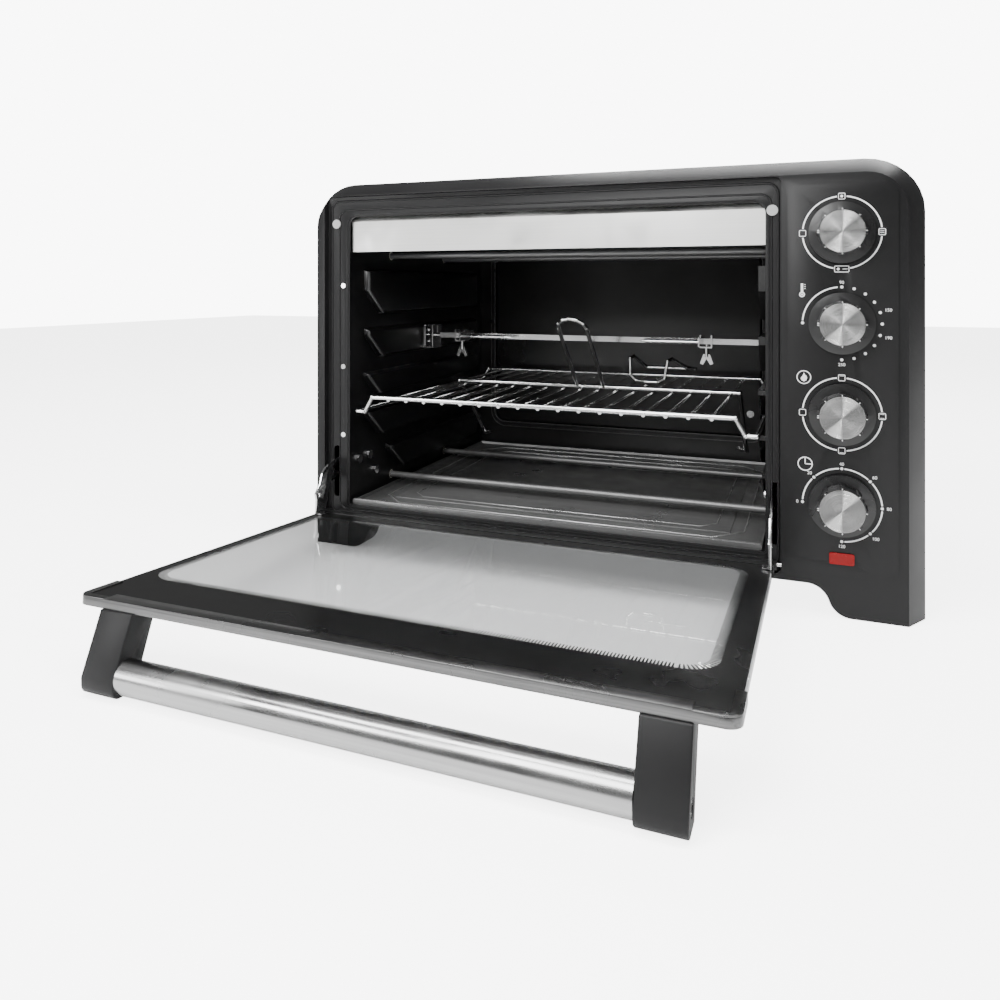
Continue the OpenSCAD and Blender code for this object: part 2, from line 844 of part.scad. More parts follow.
// door parts are drawn closed and swung open about the pivot
module swung() {
  placed() translate([0, piv_y, piv_z]) rotate([door_angle, 0, 0]) translate([0, -piv_y, -piv_z]) children();
}

module door_glass() {
  color([0.1, 0.12, 0.12, 0.5]) swung()
    slab(glass_out, glass_in)
      round_rect(door_l + trim_sheet, door_z0 + trim_sheet, door_r - trim_sheet, door_z1 - trim_sheet,
        glass_radius);
}

module door_trim() {
  color(steel) swung() difference() {
    slab(door_out, door_in) round_rect(door_l, door_z1 - trim_width - 10, door_r, door_z1, door_radius);
    box([door_l - over, door_out - over, door_z1 - trim_width - 11],
      [door_r + over, door_in + over, door_z1 - trim_width]);
    slab(glass_out, glass_in)
      round_rect(door_l + trim_sheet, door_z1 - 60, door_r - trim_sheet, door_z1 - trim_sheet, glass_radius);
    for (s = [0, 1]) translate([s == 0 ? door_l : door_r, 0, 0]) mirror([s, 0, 0])
      box([-over, glass_in, door_z1 - trim_width - over], [flange_gap, door_in + over, door_z1 + over]);
  }
}

module door_corner_clips() {
  color(steel) swung() for (s = [0, 1]) translate([s == 0 ? door_l : door_r, 0, 0]) mirror([s, 0, 0]) {
    difference() {
      box([0, door_out, door_z1 - clip_len], [clip_w, door_in, door_z1 - trim_width]);
      box([trim_sheet, glass_out, door_z1 - clip_len - 1],
        [clip_w + 1, glass_in, door_z1 - trim_width + over]);
    }
    slab(glass_in, door_in) difference() {
      translate([0, door_z1 - trim_width]) square([flange_gap, trim_width]);
      translate([clip_w, door_z1 - trim_width - over])
        square([flange_gap - clip_w + over, trim_width - clip_w + over]);
      difference() {
        translate([-over, door_z1 - door_radius]) square([door_radius + over, door_radius + over]);
        translate([door_radius, door_z1 - door_radius]) circle(r = door_radius);
      }
    }
  }
}

module door_rail() {
  color(black) swung() difference() {
    union() {
      box([door_l, door_out, door_z0], [door_r, door_in, door_z0 + rail_w]);
      for (x = [door_l - 1.5, door_r - 5]) {
        box([x, door_out + 0.2, piv_z], [x + 6.5, door_in, door_z0 + 1]);
        bar_along_x(x, x + 6.5, piv_y, piv_z, 2 * lug_r);
      }
    }
    box([door_l + trim_sheet, glass_out, door_z0 + trim_sheet],
      [door_r - trim_sheet, glass_in, door_z0 + rail_w + over]);
    bar_along_x(door_l - 3, door_r + 3, piv_y, piv_z, pin_d);
  }
}

module hinge_pins() {
  color(steel) placed() {
    bar_along_x(rec_l - pin_reach + 1, door_l + 5, piv_y, piv_z, pin_d);
    bar_along_x(door_r - 5, rec_r + pin_reach - 1, piv_y, piv_z, pin_d);
  }
}

// hook-shaped plate, drawn with the door open, in Y and Z about the pivot
module hinge_shape() {
  difference() {
    polygon([[-34, 6], [-33, 20], [-35, 26], [-27.5, 34], [-23.4, 44.3], [-17, 49], [-10.8, 51.4], [0, 54.4],
      [12, 56], [13, 51.5], [-1, 46.2], [-2, 42.4], [10, 40.5], [10, 37.5], [-3.7, 33.5],
      [-11.4, 24.9], [-13.4, 16], [-18, 6]]);
    translate([-29, 24]) circle(d = 4);
  }
}

module hinge_plate(x, foot) {
  placed() {
    translate([0, piv_y, piv_z]) intersection() {
      side(x, x + plate_t) hinge_shape();
      rotate([door_angle, 0, 0]) box([x - 1, door_in - piv_y, -60], [x + plate_t + 1, 80, 80]);
    }
  }
  x0 = foot > 0 ? x : x - tab_w;
  x1 = foot > 0 ? x + plate_t + tab_w : x + plate_t;
  swung() box([x0, door_in, door_z0 + 14], [x1, door_in + tab_t, door_z0 + 27]);
}

module hinge_plate_left() {
  color(steel) hinge_plate(plate_l, 1);
}

module hinge_plate_right() {
  color(steel) hinge_plate(plate_r, -1);
}

// side view of a handle post: straight front edge, rounded at the foot
module post_shape() {
  difference() {
    union() {
      polygon([[end_y, end_z], [handle_front, bar_z], [handle_front, post_low + post_foot],
        [handle_front + post_foot, post_low], [bar_y + bar_d / 2 - 3, post_low],
        [bar_y + bar_d / 2 + 1, bar_z], [end_y + post_depth, end_z + 4]]);
      translate([handle_front + post_foot, post_low + post_foot]) circle(r = post_foot);
    }
    // flat face against the door
    translate([piv_y, piv_z]) rotate(door_angle) translate([door_out - piv_y, 0]) square([60, door_z1]);
  }
}

module handle_post_left() {
  color(black) placed() difference() {
    side(post_l, post_l + post_width) post_shape();
    bar_along_x(post_l - over, post_l + post_width + over, bar_y, bar_z, screw_d);
    bar_along_x(post_l - over, post_l + screw_sink, bar_y, bar_z, screw_head_d);
  }
}

module handle_post_right() {
  color(black) placed() difference() {
    side(post_r - post_width, post_r) post_shape();
    bar_along_x(post_r - post_width - over, post_r + over, bar_y, bar_z, screw_d);
    bar_along_x(post_r - screw_sink, post_r + over, bar_y, bar_z, screw_head_d);
  }
}

module handle_bar() {
  color(steel) placed() difference() {
    bar_along_x(post_l + post_width, post_r - post_width, bar_y, bar_z, bar_d);
    bar_along_x(post_l, post_l + post_width + screw_grip, bar_y, bar_z, screw_d);
    bar_along_x(post_r - post_width - screw_grip, post_r, bar_y, bar_z, screw_d);
  }
}

module handle_screws() {
  color(steel) placed() for (s = [0, 1])
    translate([s == 0 ? post_l : post_r, 0, 0]) mirror([s, 0, 0]) difference() {
      union() {
        bar_along_x(0.5, screw_sink, bar_y, bar_z, screw_head_d);
        bar_along_x(1, post_width + screw_grip, bar_y, bar_z, screw_d);
      }
      translate([0, bar_y, bar_z]) rotate([0, 90, 0]) cylinder(h = 3, d = 4.6, $fn = 6);
    }
}

module wire_rack() {
  color(steel) placed() {
    for (y = [rack_y0, rack_y1])
      wire_path([[rack_l, y, rail_z], [bend_l, y, rail_z], [deck_l, y, deck_z],
        [deck_r, y, deck_z], [bend_r, y, rail_z], [rack_r, y, rail_z]], rack_wire);
    for (x = [rack_l, rack_r]) {
      bar_along_y(rack_y0, rack_y1, x, rail_z, rack_wire);
      for (y = [rack_y0, rack_y1]) translate([x, y, rail_z]) sphere(d = rack_wire + bead);
    }
    for (i = [0 : rack_bars - 1])
      bar_along_y(rack_y0 - bar_end, rack_y1 + bar_end, bar_x0 + i * bar_pitch, bars_z, rack_bar);
  }
}

// point of the tilted lifter, a along X, u up its slope
function lift_pt(x, u) = [x, lift_y - u * sin(lift_tilt), lift_z + u * cos(lift_tilt)];

module spit_lifter() {
  m = (lift_l + lift_r) / 2;
  color(steel) placed() {
    wire_path([lift_pt(lift_l + 10, -lift_leg + 4), lift_pt(lift_l, -lift_leg), lift_pt(lift_l, 0),
      lift_pt(lift_r, 0), lift_pt(lift_r, -lift_leg), lift_pt(lift_r - 10, -lift_leg + 4)], lift_d);
    wire_path(concat([lift_pt(m - loop_half, 0)],
      [for (a = [180 : -30 : 0]) lift_pt(m + loop_half * cos(a), lift_loop - loop_half + loop_half * sin(a))],
      [lift_pt(m + loop_half, 0)]), loop_d);
  }
}

// bent wire handle: a low front bar, two humps and a raised rear bar
module tray_handle() {
  x = grab_x;
  y = grab_y;
  z = bars_z + rack_bar / 2 + lift_d / 2;
  h = z + grab_rise;
  r = z + 0.55 * grab_rise;
  pts = [[x, y, h], [x, y, z + 8], [x + 7, y, z + 1], [x + 18, y - 3, z], [x + 32, y - 3, z],
    [x + 40, y, z + 4], [x + 44, y, h - 2], [x + 48, y + 5, h], [x + 63, y + 16, r + 2],
    [x + grab_len, y + grab_width, r], [x + 16, y + grab_width, r], [x + 3, y + 6, h + 2]];
  n = len(pts);
  color(steel) placed() for (i = [0 : n - 1]) {
    wire(pts[i], pts[(i + 1) % n], grab_d);
    translate(pts[i]) rotate([0, 90, 0]) sphere(d = grab_d + 2 * bead);
  }
}

module crumb_tray() {
  l = open_l + 2;
  r = cav_r - 3;
  color(steel) placed() {
    box([l, 12, cav_z0], [r, cav_y1 - 10, cav_z0 + sheet]);
    slab(11, 12.5) round_rect(l, cav_z0, r, cav_z0 + tray_lip, 2.5);
    for (x = [l, r - sheet]) box([x, 12, cav_z0], [x + sheet, cav_y1 - 10, cav_z0 + 4]);
    box([l, cav_y1 - 11, cav_z0], [r, cav_y1 - 10, cav_z0 + 4]);
    box([l + 30, 50, cav_z0 + sheet - 0.1], [r - 30, cav_y1 - 50, cav_z0 + sheet + 0.8]);
  }
}

module spit_rod() {
  color(steel) placed() {
    translate([spit_tip + 6, spit_y, spit_z]) rotate([0, -90, 0]) cylinder(h = 6, d1 = neck_d, d2 = 1);
    bar_along_x(spit_tip + 6 - over, bracket_x + 7, spit_y, spit_z, neck_d);
    box([bracket_x + 6, spit_y - spit_width / 2, spit_z - spit_width / 2],
      [socket_x + 10, spit_y + spit_width / 2, spit_z + spit_width / 2]);
  }
}

module spit_socket() {
  color(steel) placed() difference() {
    union() {
      bar_along_x(socket_x, socket_x + 13, spit_y, spit_z, socket_d);
      bar_along_x(socket_x + 12, cav_r + sheet + 15, spit_y, spit_z, drive_d);
    }
    box([socket_x - over, spit_y - spit_width / 2, spit_z - spit_width / 2],
      [socket_x + 10, spit_y + spit_width / 2, spit_z + spit_width / 2]);
  }
}

// fork folded from sheet, its plate at x and its prongs towards the middle
module fork(x, s) {
  translate([x, spit_y, spit_z]) mirror([s, 0, 0]) difference() {
    union() {
      box([fork_t - fork_sheet, -fork_spacing / 2 - 4, -5], [fork_t, fork_spacing / 2 + 4, 5]);
      box([-fork_block, -7, -7], [fork_t, 7, 7]);
      for (y = [-1, 1]) {
        bar_along_x(fork_t - over, prong_length, y * fork_spacing / 2, 0, prong_d);
        translate([prong_length, y * fork_spacing / 2, 0]) rotate([0, 90, 0])
          cylinder(h = 8, d1 = prong_d, d2 = 1);
      }
    }
    box([-fork_block - over, -spit_width / 2, -spit_width / 2],
      [fork_t + over, spit_width / 2, spit_width / 2]);
    // open inside of the folded sheet
    box([fork_sheet - fork_block, -7 - over, fork_sheet - 7], [fork_t - fork_sheet, 7 + over, 7 + over]);
    translate([thumb_x, 0, -7 - over]) cylinder(h = 7, d = thumb_d);
  }
}

module spit_forks() {
  color(steel) placed() {
    fork(fork_l, 0);
    fork(fork_r, 1);
  }
}

module thumb_screws() {
  color(steel) placed() for (s = [0, 1])
    translate([s == 0 ? fork_l : fork_r, spit_y, spit_z]) mirror([s, 0, 0]) {
      translate([thumb_x, 0, -thumb_reach]) cylinder(h = thumb_reach - spit_width / 2, d = thumb_d);
      // wings
      translate([thumb_x, 0, -thumb_reach]) slab(-0.9, 0.9)
        polygon([[-3.4, 3], [3.4, 3], [7, -7], [3.8, -8.5], [0, -2], [-3.8, -8.5], [-7, -7]]);
    }
}

module knob_body(i) {
  z = knob_z(i);
  y0 = -pad_rise - skirt_gap;
  y1 = y0 - skirt_t;
  y2 = -pad_rise - knob_height;
  difference() {
    union() {
      bar_along_y(y1, y0, knob_x, z, skirt_d);
      bar_along_y(y2, y1 + over, knob_x, z, knob_d - 2);
      for (a = [0 : 360 / rib_count : 359])
        translate([knob_x, y1 + over, z]) rotate([90, 0, 0]) rotate([0, 0, a])
          translate([knob_d / 2 - rib_t, -rib_w / 2, 0]) cube([rib_t, rib_w, y1 - y2 + over - 1]);
      bar_along_y(y0 - over, shaft_end, knob_x, z, shaft_d);
    }
    bar_along_y(y2 - over, y2 + cap_t, knob_x, z, cap_d);
  }
}

module knob_cap(i) {
  y2 = -pad_rise - knob_height;
  bar_along_y(y2, y2 + cap_t, knob_x, knob_z(i), cap_d);
}

module knob_mode() {
  color(black) placed() knob_body(0);
}

module knob_mode_cap() {
  color(steel) placed() knob_cap(0);
}

module knob_heat() {
  color(black) placed() knob_body(1);
}

module knob_heat_cap() {
  color(steel) placed() knob_cap(1);
}

module knob_select() {
  color(black) placed() knob_body(2);
}

module knob_select_cap() {
  color(steel) placed() knob_cap(2);
}

module knob_time() {
  color(black) placed() knob_body(3);
}

module knob_time_cap() {
  color(steel) placed() knob_cap(3);
}

front_frame();
outer_cover();
back_cover();
bottom_plate();
cavity_left_wall();
wall_flange();
cavity_right_wall();
cavity_ceiling();
cavity_back();
cavity_floor();
reflector();
upper_heaters();
lower_heaters();
heater_insulators();
spit_bracket();
spit_motor();
fan_housing();
fan_motor();
mode_switch();
thermostat();
selector_switch();
timer();
lamp_lens();
lamp_housing();
hinge_brackets();
rear_feet();
door_bumpers();
cavity_screws();
wall_bolts();
cover_screws();
cord_inlet();
terminal_block();
door_glass();
door_trim();
door_corner_clips();
door_rail();
hinge_plate_left();
hinge_plate_right();
hinge_pins();
handle_post_left();
handle_post_right();
handle_bar();
handle_screws();
wire_rack();
spit_lifter();
tray_handle();
crumb_tray();
spit_rod();
spit_socket();
spit_forks();
thumb_screws();
fan_blade();
knob_mode();
knob_mode_cap();
knob_heat();
knob_heat_cap();
knob_select();
knob_select_cap();
knob_time();
knob_time_cap();
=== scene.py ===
"""Rotisserie oven with its glass door let down: looks, camera and light."""

import json
import math

import bpy
from mathutils import Matrix, Vector


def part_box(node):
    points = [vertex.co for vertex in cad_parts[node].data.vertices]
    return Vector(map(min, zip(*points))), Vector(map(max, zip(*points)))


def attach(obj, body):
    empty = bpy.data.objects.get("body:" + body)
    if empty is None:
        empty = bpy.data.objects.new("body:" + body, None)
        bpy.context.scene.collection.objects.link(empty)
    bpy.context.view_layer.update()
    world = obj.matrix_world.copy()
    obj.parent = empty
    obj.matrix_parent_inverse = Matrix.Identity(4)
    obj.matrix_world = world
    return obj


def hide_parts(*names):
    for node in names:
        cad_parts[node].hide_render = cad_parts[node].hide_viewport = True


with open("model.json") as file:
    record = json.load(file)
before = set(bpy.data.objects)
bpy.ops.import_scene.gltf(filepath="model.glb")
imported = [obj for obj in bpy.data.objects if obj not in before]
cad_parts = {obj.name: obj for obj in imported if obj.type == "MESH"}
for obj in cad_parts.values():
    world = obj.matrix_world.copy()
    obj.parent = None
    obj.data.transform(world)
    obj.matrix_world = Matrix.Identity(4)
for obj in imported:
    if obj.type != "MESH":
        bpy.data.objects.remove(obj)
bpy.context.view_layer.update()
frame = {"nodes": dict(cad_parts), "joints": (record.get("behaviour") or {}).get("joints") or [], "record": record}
nodes = frame["nodes"]
MM = 0.001


def low(node):
    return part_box(node)[0]


def high(node):
    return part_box(node)[1]


# ---------------------------------------------------------------- places taken from the frame
PANEL_RISE = 1.2 * MM
pad_face = low("front_frame").y
face_y = pad_face + PANEL_RISE
frame_h = high("front_frame").z
recess_y = high("door_bumpers").y
cav_left = low("cavity_ceiling").x
cav_right = high("cavity_ceiling").x
cav_floor = high("cavity_floor").z
cav_top = low("cavity_ceiling").z
cav_front = low("cavity_floor").y
cav_back = high("cavity_ceiling").y
KNOBS = ["mode", "heat", "select", "time"]


def knob_centre(name):
    lo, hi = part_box("knob_" + name + "_cap")
    return (lo.x + hi.x) / 2, (lo.z + hi.z) / 2


# ---------------------------------------------------------------- shader groups
def new_group(name, inputs, outputs):
    group = bpy.data.node_groups.new(name, "ShaderNodeTree")
    for label, kind, default in inputs:
        socket = group.interface.new_socket(label, in_out="INPUT", socket_type=kind)
        socket.default_value = default
    for label, kind in outputs:
        group.interface.new_socket(label, in_out="OUTPUT", socket_type=kind)
    return group, group.nodes.new("NodeGroupInput"), group.nodes.new("NodeGroupOutput")


def ranged(tree, source, low_value, high_value, from_low=0.0, from_high=1.0):
    remap = tree.nodes.new("ShaderNodeMapRange")
    remap.inputs["From Min"].default_value = from_low
    remap.inputs["From Max"].default_value = from_high
    remap.inputs["To Min"].default_value = low_value
    remap.inputs["To Max"].default_value = high_value
    tree.links.new(source, remap.inputs["Value"])
    return remap.outputs["Result"]


def make_mottle():
    """Slow cloudy variation with a fine speckle on top, for coated and moulded surfaces."""
    group, start, end = new_group(
        "mottle",
        [("Cloud Scale", "NodeSocketFloat", 14.0), ("Speckle Scale", "NodeSocketFloat", 1400.0)],
        [("Cloud", "NodeSocketFloat"), ("Speckle", "NodeSocketFloat")],
    )
    place = group.nodes.new("ShaderNodeTexCoord")
    for label, socket in (("Cloud Scale", "Cloud"), ("Speckle Scale", "Speckle")):
        noise = group.nodes.new("ShaderNodeTexNoise")
        noise.inputs["Detail"].default_value = 3.0
        group.links.new(place.outputs["Object"], noise.inputs["Vector"])
        group.links.new(start.outputs[label], noise.inputs["Scale"])
        group.links.new(noise.outputs["Fac"], end.inputs[socket])
    return group


def make_brushing():
    """Long fine lines, for brushed and drawn metal. Stretch is the scale along each axis."""
    group, start, end = new_group(
        "brushing",
        [("Stretch", "NodeSocketVector", (6.0, 900.0, 900.0))],
        [("Lines", "NodeSocketFloat"), ("Smears", "NodeSocketFloat")],
    )
    place = group.nodes.new("ShaderNodeTexCoord")
    scale = group.nodes.new("ShaderNodeVectorMath")
    scale.operation = "MULTIPLY"
    group.links.new(place.outputs["Object"], scale.inputs[0])
    group.links.new(start.outputs["Stretch"], scale.inputs[1])
    lines = group.nodes.new("ShaderNodeTexNoise")
    lines.inputs["Scale"].default_value = 1.0
    lines.inputs["Detail"].default_value = 2.0
    group.links.new(scale.outputs["Vector"], lines.inputs["Vector"])
    group.links.new(lines.outputs["Fac"], end.inputs["Lines"])
    smears = group.nodes.new("ShaderNodeTexNoise")
    smears.inputs["Scale"].default_value = 22.0
    group.links.new(place.outputs["Object"], smears.inputs["Vector"])
    group.links.new(smears.outputs["Fac"], end.inputs["Smears"])
    return group


# two bright wedges of painted highlight round each spun face: how many, and where they point
HIGHLIGHT_WEDGE_COUNT = 2
HIGHLIGHT_WEDGE_PHASE = math.radians(-130)


def make_spinning():
    """Rings round a centre, for faces turned on a lathe, and two bright wedges of painted highlight."""
    group, start, end = new_group(
        "spinning",
        [("Centre", "NodeSocketVector", (0.0, 0.0, 0.0)), ("Ring Scale", "NodeSocketFloat", 9000.0)],
        [("Rings", "NodeSocketFloat"), ("Painted Highlight", "NodeSocketFloat")],
    )
    place = group.nodes.new("ShaderNodeTexCoord")
    shift = group.nodes.new("ShaderNodeVectorMath")
    shift.operation = "SUBTRACT"
    group.links.new(place.outputs["Object"], shift.inputs[0])
    group.links.new(start.outputs["Centre"], shift.inputs[1])
    flat = group.nodes.new("ShaderNodeVectorMath")
    flat.operation = "MULTIPLY"
    flat.inputs[1].default_value = (1.0, 0.0, 1.0)
    group.links.new(shift.outputs["Vector"], flat.inputs[0])
    radius = group.nodes.new("ShaderNodeVectorMath")
    radius.operation = "LENGTH"
    group.links.new(flat.outputs["Vector"], radius.inputs[0])
    rings = group.nodes.new("ShaderNodeTexNoise")
    rings.noise_dimensions = "1D"
    rings.inputs["Detail"].default_value = 1.0
    group.links.new(radius.outputs["Value"], rings.inputs["W"])
    group.links.new(start.outputs["Ring Scale"], rings.inputs["Scale"])
    group.links.new(rings.outputs["Fac"], end.inputs["Rings"])
    turn = group.nodes.new("ShaderNodeTexGradient")
    turn.gradient_type = "RADIAL"
    spin = group.nodes.new("ShaderNodeSeparateXYZ")
    lay = group.nodes.new("ShaderNodeCombineXYZ")
    group.links.new(flat.outputs["Vector"], spin.inputs[0])
    group.links.new(spin.outputs["X"], lay.inputs["X"])
    group.links.new(spin.outputs["Z"], lay.inputs["Y"])
    group.links.new(lay.outputs["Vector"], turn.inputs["Vector"])
    turns = group.nodes.new("ShaderNodeMath")
    turns.operation = "MULTIPLY_ADD"
    turns.inputs[1].default_value = 2 * math.pi * HIGHLIGHT_WEDGE_COUNT
    turns.inputs[2].default_value = HIGHLIGHT_WEDGE_PHASE
    group.links.new(turn.outputs["Fac"], turns.inputs[0])
    wave = group.nodes.new("ShaderNodeMath")
    wave.operation = "COSINE"
    group.links.new(turns.outputs["Value"], wave.inputs[0])
    narrow = group.nodes.new("ShaderNodeMapRange")
    narrow.interpolation_type = "SMOOTHSTEP"
    narrow.inputs["From Min"].default_value = 0.55
    narrow.inputs["From Max"].default_value = 1.0
    group.links.new(wave.outputs["Value"], narrow.inputs["Value"])
    group.links.new(narrow.outputs["Result"], end.inputs["Painted Highlight"])
    return group


MOTTLE = make_mottle()
BRUSHING = make_brushing()
SPINNING = make_spinning()


def blank(name):
    material = bpy.data.materials.new(name)
    material.use_nodes = True
    tree = material.node_tree
    return material, tree, tree.nodes["Principled BSDF"]


def put_group(tree, group, **values):
    node = tree.nodes.new("ShaderNodeGroup")
    node.node_tree = group
    for label, value in values.items():
        node.inputs[label.replace("_", " ")].default_value = value
    return node


def tint(tree, shader, mask, dark, light):
    ramp = tree.nodes.new("ShaderNodeMix")
    ramp.data_type = "RGBA"
    ramp.inputs["A"].default_value = (*dark, 1)
    ramp.inputs["B"].default_value = (*light, 1)
    tree.links.new(mask, ramp.inputs["Factor"])
    tree.links.new(ramp.outputs["Result"], shader.inputs["Base Color"])


def relief(tree, shader, height, strength, depth):
    bump = tree.nodes.new("ShaderNodeBump")
    bump.inputs["Strength"].default_value = strength
    bump.inputs["Distance"].default_value = depth
    tree.links.new(height, bump.inputs["Height"])
    tree.links.new(bump.outputs["Normal"], shader.inputs["Normal"])


MIDDLE_OF_NOISE = (0.3, 0.7)
GLOSS_SPREAD = 0.15
SMEAR_SPREAD = 0.3
GRAIN_DEPTH = 0.06 * MM
LINE_DEPTH = 0.02 * MM
RING_DEPTH = 0.12 * MM
LINE_RELIEF = 0.35
RING_RELIEF = 0.9
WEDGE_BASE = 0.35


def coated(name, colour, rough, grain=0.25, metallic=0.0, coat=0.0, cloud=14.0, speckle=1400.0, spread=0.18,
           sheen=0.5):
    """Paint, enamel, rubber or moulded plastic: cloudy tone, uneven gloss and a fine orange-peel grain."""
    material, tree, shader = blank(name)
    marks = put_group(tree, MOTTLE, Cloud_Scale=cloud, Speckle_Scale=speckle)
    dark = tuple(c * (1 - spread) for c in colour)
    light = tuple(c * (1 + spread) for c in colour)
    tint(tree, shader, marks.outputs["Cloud"], dark, light)
    low_gloss, high_gloss = rough * (1 - GLOSS_SPREAD), rough * (1 + GLOSS_SPREAD)
    gloss = ranged(tree, marks.outputs["Cloud"], low_gloss, high_gloss, *MIDDLE_OF_NOISE)
    tree.links.new(gloss, shader.inputs["Roughness"])
    relief(tree, shader, marks.outputs["Speckle"], grain, GRAIN_DEPTH)
    shader.inputs["Metallic"].default_value = metallic
    shader.inputs["Coat Weight"].default_value = coat
    shader.inputs["Coat Roughness"].default_value = 0.12
    shader.inputs["Specular IOR Level"].default_value = sheen
    return material


def drawn(name, colour, rough, stretch, contrast=0.25, depth=LINE_DEPTH, metallic=1.0):
    """Brushed, rolled or drawn metal with lines along one axis."""
    material, tree, shader = blank(name)
    marks = put_group(tree, BRUSHING, Stretch=stretch)
    dark = tuple(c * (1 - contrast) for c in colour)
    light = tuple(min(1.0, c * (1 + contrast)) for c in colour)
    tint(tree, shader, marks.outputs["Lines"], dark, light)
    low_gloss, high_gloss = rough * (1 - SMEAR_SPREAD), rough * (1 + SMEAR_SPREAD)
    gloss = ranged(tree, marks.outputs["Smears"], low_gloss, high_gloss, *MIDDLE_OF_NOISE)
    tree.links.new(gloss, shader.inputs["Roughness"])
    relief(tree, shader, marks.outputs["Lines"], LINE_RELIEF, depth)
    shader.inputs["Metallic"].default_value = metallic
    return material


def spun(name, centre):
    """Spun metal face: fine rings round its own centre, and two bright wedges painted into its colour as the
    highlight of a turned face.
    """
    material, tree, shader = blank(name)
    marks = put_group(tree, SPINNING, Centre=centre)
    # colour mix: the rings' own tone plus the wedges, which are a painted highlight
    sheen = tree.nodes.new("ShaderNodeMath")
    sheen.operation = "MULTIPLY_ADD"
    sheen.inputs[1].default_value = WEDGE_BASE
    tree.links.new(marks.outputs["Rings"], sheen.inputs[0])
    tree.links.new(marks.outputs["Painted Highlight"], sheen.inputs[2])
    tint(tree, shader, sheen.outputs["Value"], (0.10, 0.10, 0.10), (0.66, 0.66, 0.65))
    gloss = ranged(tree, marks.outputs["Rings"], 0.18, 0.34)
    tree.links.new(gloss, shader.inputs["Roughness"])
    relief(tree, shader, marks.outputs["Rings"], RING_RELIEF, RING_DEPTH)
    shader.inputs["Metallic"].default_value = 1.0
    return material


def tinted_glass():
    """Grey door glass, which lets part of the lamps' light straight through."""
    material, tree, shader = blank("tinted_glass")
    shader.inputs["Base Color"].default_value = (0.60, 0.605, 0.605, 1)
    shader.inputs["Metallic"].default_value = 0.0
    shader.inputs["Transmission Weight"].default_value = 1.0
    shader.inputs["IOR"].default_value = 1.5
    shader.inputs["Specular IOR Level"].default_value = 0.12
    marks = put_group(tree, MOTTLE, Cloud_Scale=9.0, Speckle_Scale=700.0)
    tree.links.new(ranged(tree, marks.outputs["Cloud"], 0.0, 0.006), shader.inputs["Roughness"])
    clear = tree.nodes.new("ShaderNodeBsdfTransparent")
    clear.inputs["Color"].default_value = (0.72, 0.72, 0.72, 1)
    paths = tree.nodes.new("ShaderNodeLightPath")
    blend = tree.nodes.new("ShaderNodeMixShader")
    tree.links.new(paths.outputs["Is Shadow Ray"], blend.inputs["Fac"])
    tree.links.new(shader.outputs["BSDF"], blend.inputs[1])
    tree.links.new(clear.outputs["BSDF"], blend.inputs[2])
    tree.links.new(blend.outputs["Shader"], tree.nodes["Material Output"].inputs["Surface"])
    return material


# paint, enamel, plastic, rubber and glaze
frame_black = coated("frame_black", (0.008, 0.008, 0.0083), 0.38, grain=0.3, sheen=0.22)
cover_black = coated("cover_black", (0.013, 0.013, 0.0135), 0.5, grain=0.6, speckle=900.0, sheen=0.3)
enamel = coated("black_enamel", (0.006, 0.006, 0.0062), 0.32, cloud=9.0, speckle=700.0)
# a lighter copy of the black enamel: painted highlight on the pressed ridges and band noses
painted_highlight_enamel = coated("painted_highlight_enamel", (0.055, 0.055, 0.056), 0.3, grain=0.2, cloud=18.0, spread=0.6)
post_black = coated("post_black", (0.008, 0.008, 0.0083), 0.42, grain=0.4, speckle=1800.0, sheen=0.22)
knob_black = coated("knob_black", (0.007, 0.007, 0.0072), 0.3, grain=0.2)
grey_moulding = coated("grey_moulding", (0.30, 0.30, 0.31), 0.5)
rubber = coated("rubber", (0.12, 0.12, 0.12), 0.7, grain=0.5)
bumper_grey = coated("bumper_grey", (0.34, 0.34, 0.34), 0.5)
ceramic = coated("ceramic", (0.78, 0.76, 0.70), 0.3)
# white print, also used for the painted highlights at the knob rib tips
print_and_highlight_white = coated("print_and_highlight_white", (0.82, 0.82, 0.82), 0.5, grain=0.1, spread=0.05)
frit_black = coated("frit_black", (0.004, 0.004, 0.004), 0.3, grain=0.05, spread=0.1, sheen=0.25)
lamp_red = coated("lamp_red", (0.19, 0.0003, 0.0006), 0.25, grain=0.05, coat=0.15, cloud=160.0, spread=0.3,
                  sheen=0.15)

# bare metal
ALONG_X = (5.0, 400.0, 400.0)
heater_skin = coated("heater_skin", (0.15, 0.15, 0.15), 0.38, grain=0.4, metallic=0.6, cloud=30.0)
zinc = coated("zinc", (0.38, 0.39, 0.40), 0.4, grain=0.3, metallic=0.9, cloud=40.0, spread=0.3)
chrome = drawn("bright_steel", (0.66, 0.66, 0.66), 0.16, (60.0, 60.0, 60.0), 0.12, 0.004 * MM)
trim_steel = drawn("trim_steel", (0.13, 0.13, 0.13), 0.3, (5.0, 700.0, 700.0), 0.45)
bar_steel = drawn("bar_steel", (0.36, 0.36, 0.36), 0.24, (4.0, 500.0, 500.0))
reflector_sheet = drawn("reflector_sheet", (0.54, 0.54, 0.53), 0.42, (5.0, 800.0, 800.0), 0.10)
tray_sheet = drawn("tray_sheet", (0.15, 0.15, 0.15), 0.36, ALONG_X, 0.2, metallic=0.6)
# a lighter copy of the tray metal: painted highlight on the tray's lip and pressed lines
tray_edge_highlight = drawn("tray_edge_highlight", (0.42, 0.42, 0.42), 0.3, ALONG_X, 0.2, metallic=0.8)
window_glass = tinted_glass()


# ---------------------------------------------------------------- modelling helpers
MERGE = 0.002 * MM
FLAT = 0.5
SHARP = 30


def deselect():
    if bpy.context.mode != "OBJECT":
        bpy.ops.object.mode_set(mode="OBJECT")
    bpy.ops.object.select_all(action="DESELECT")


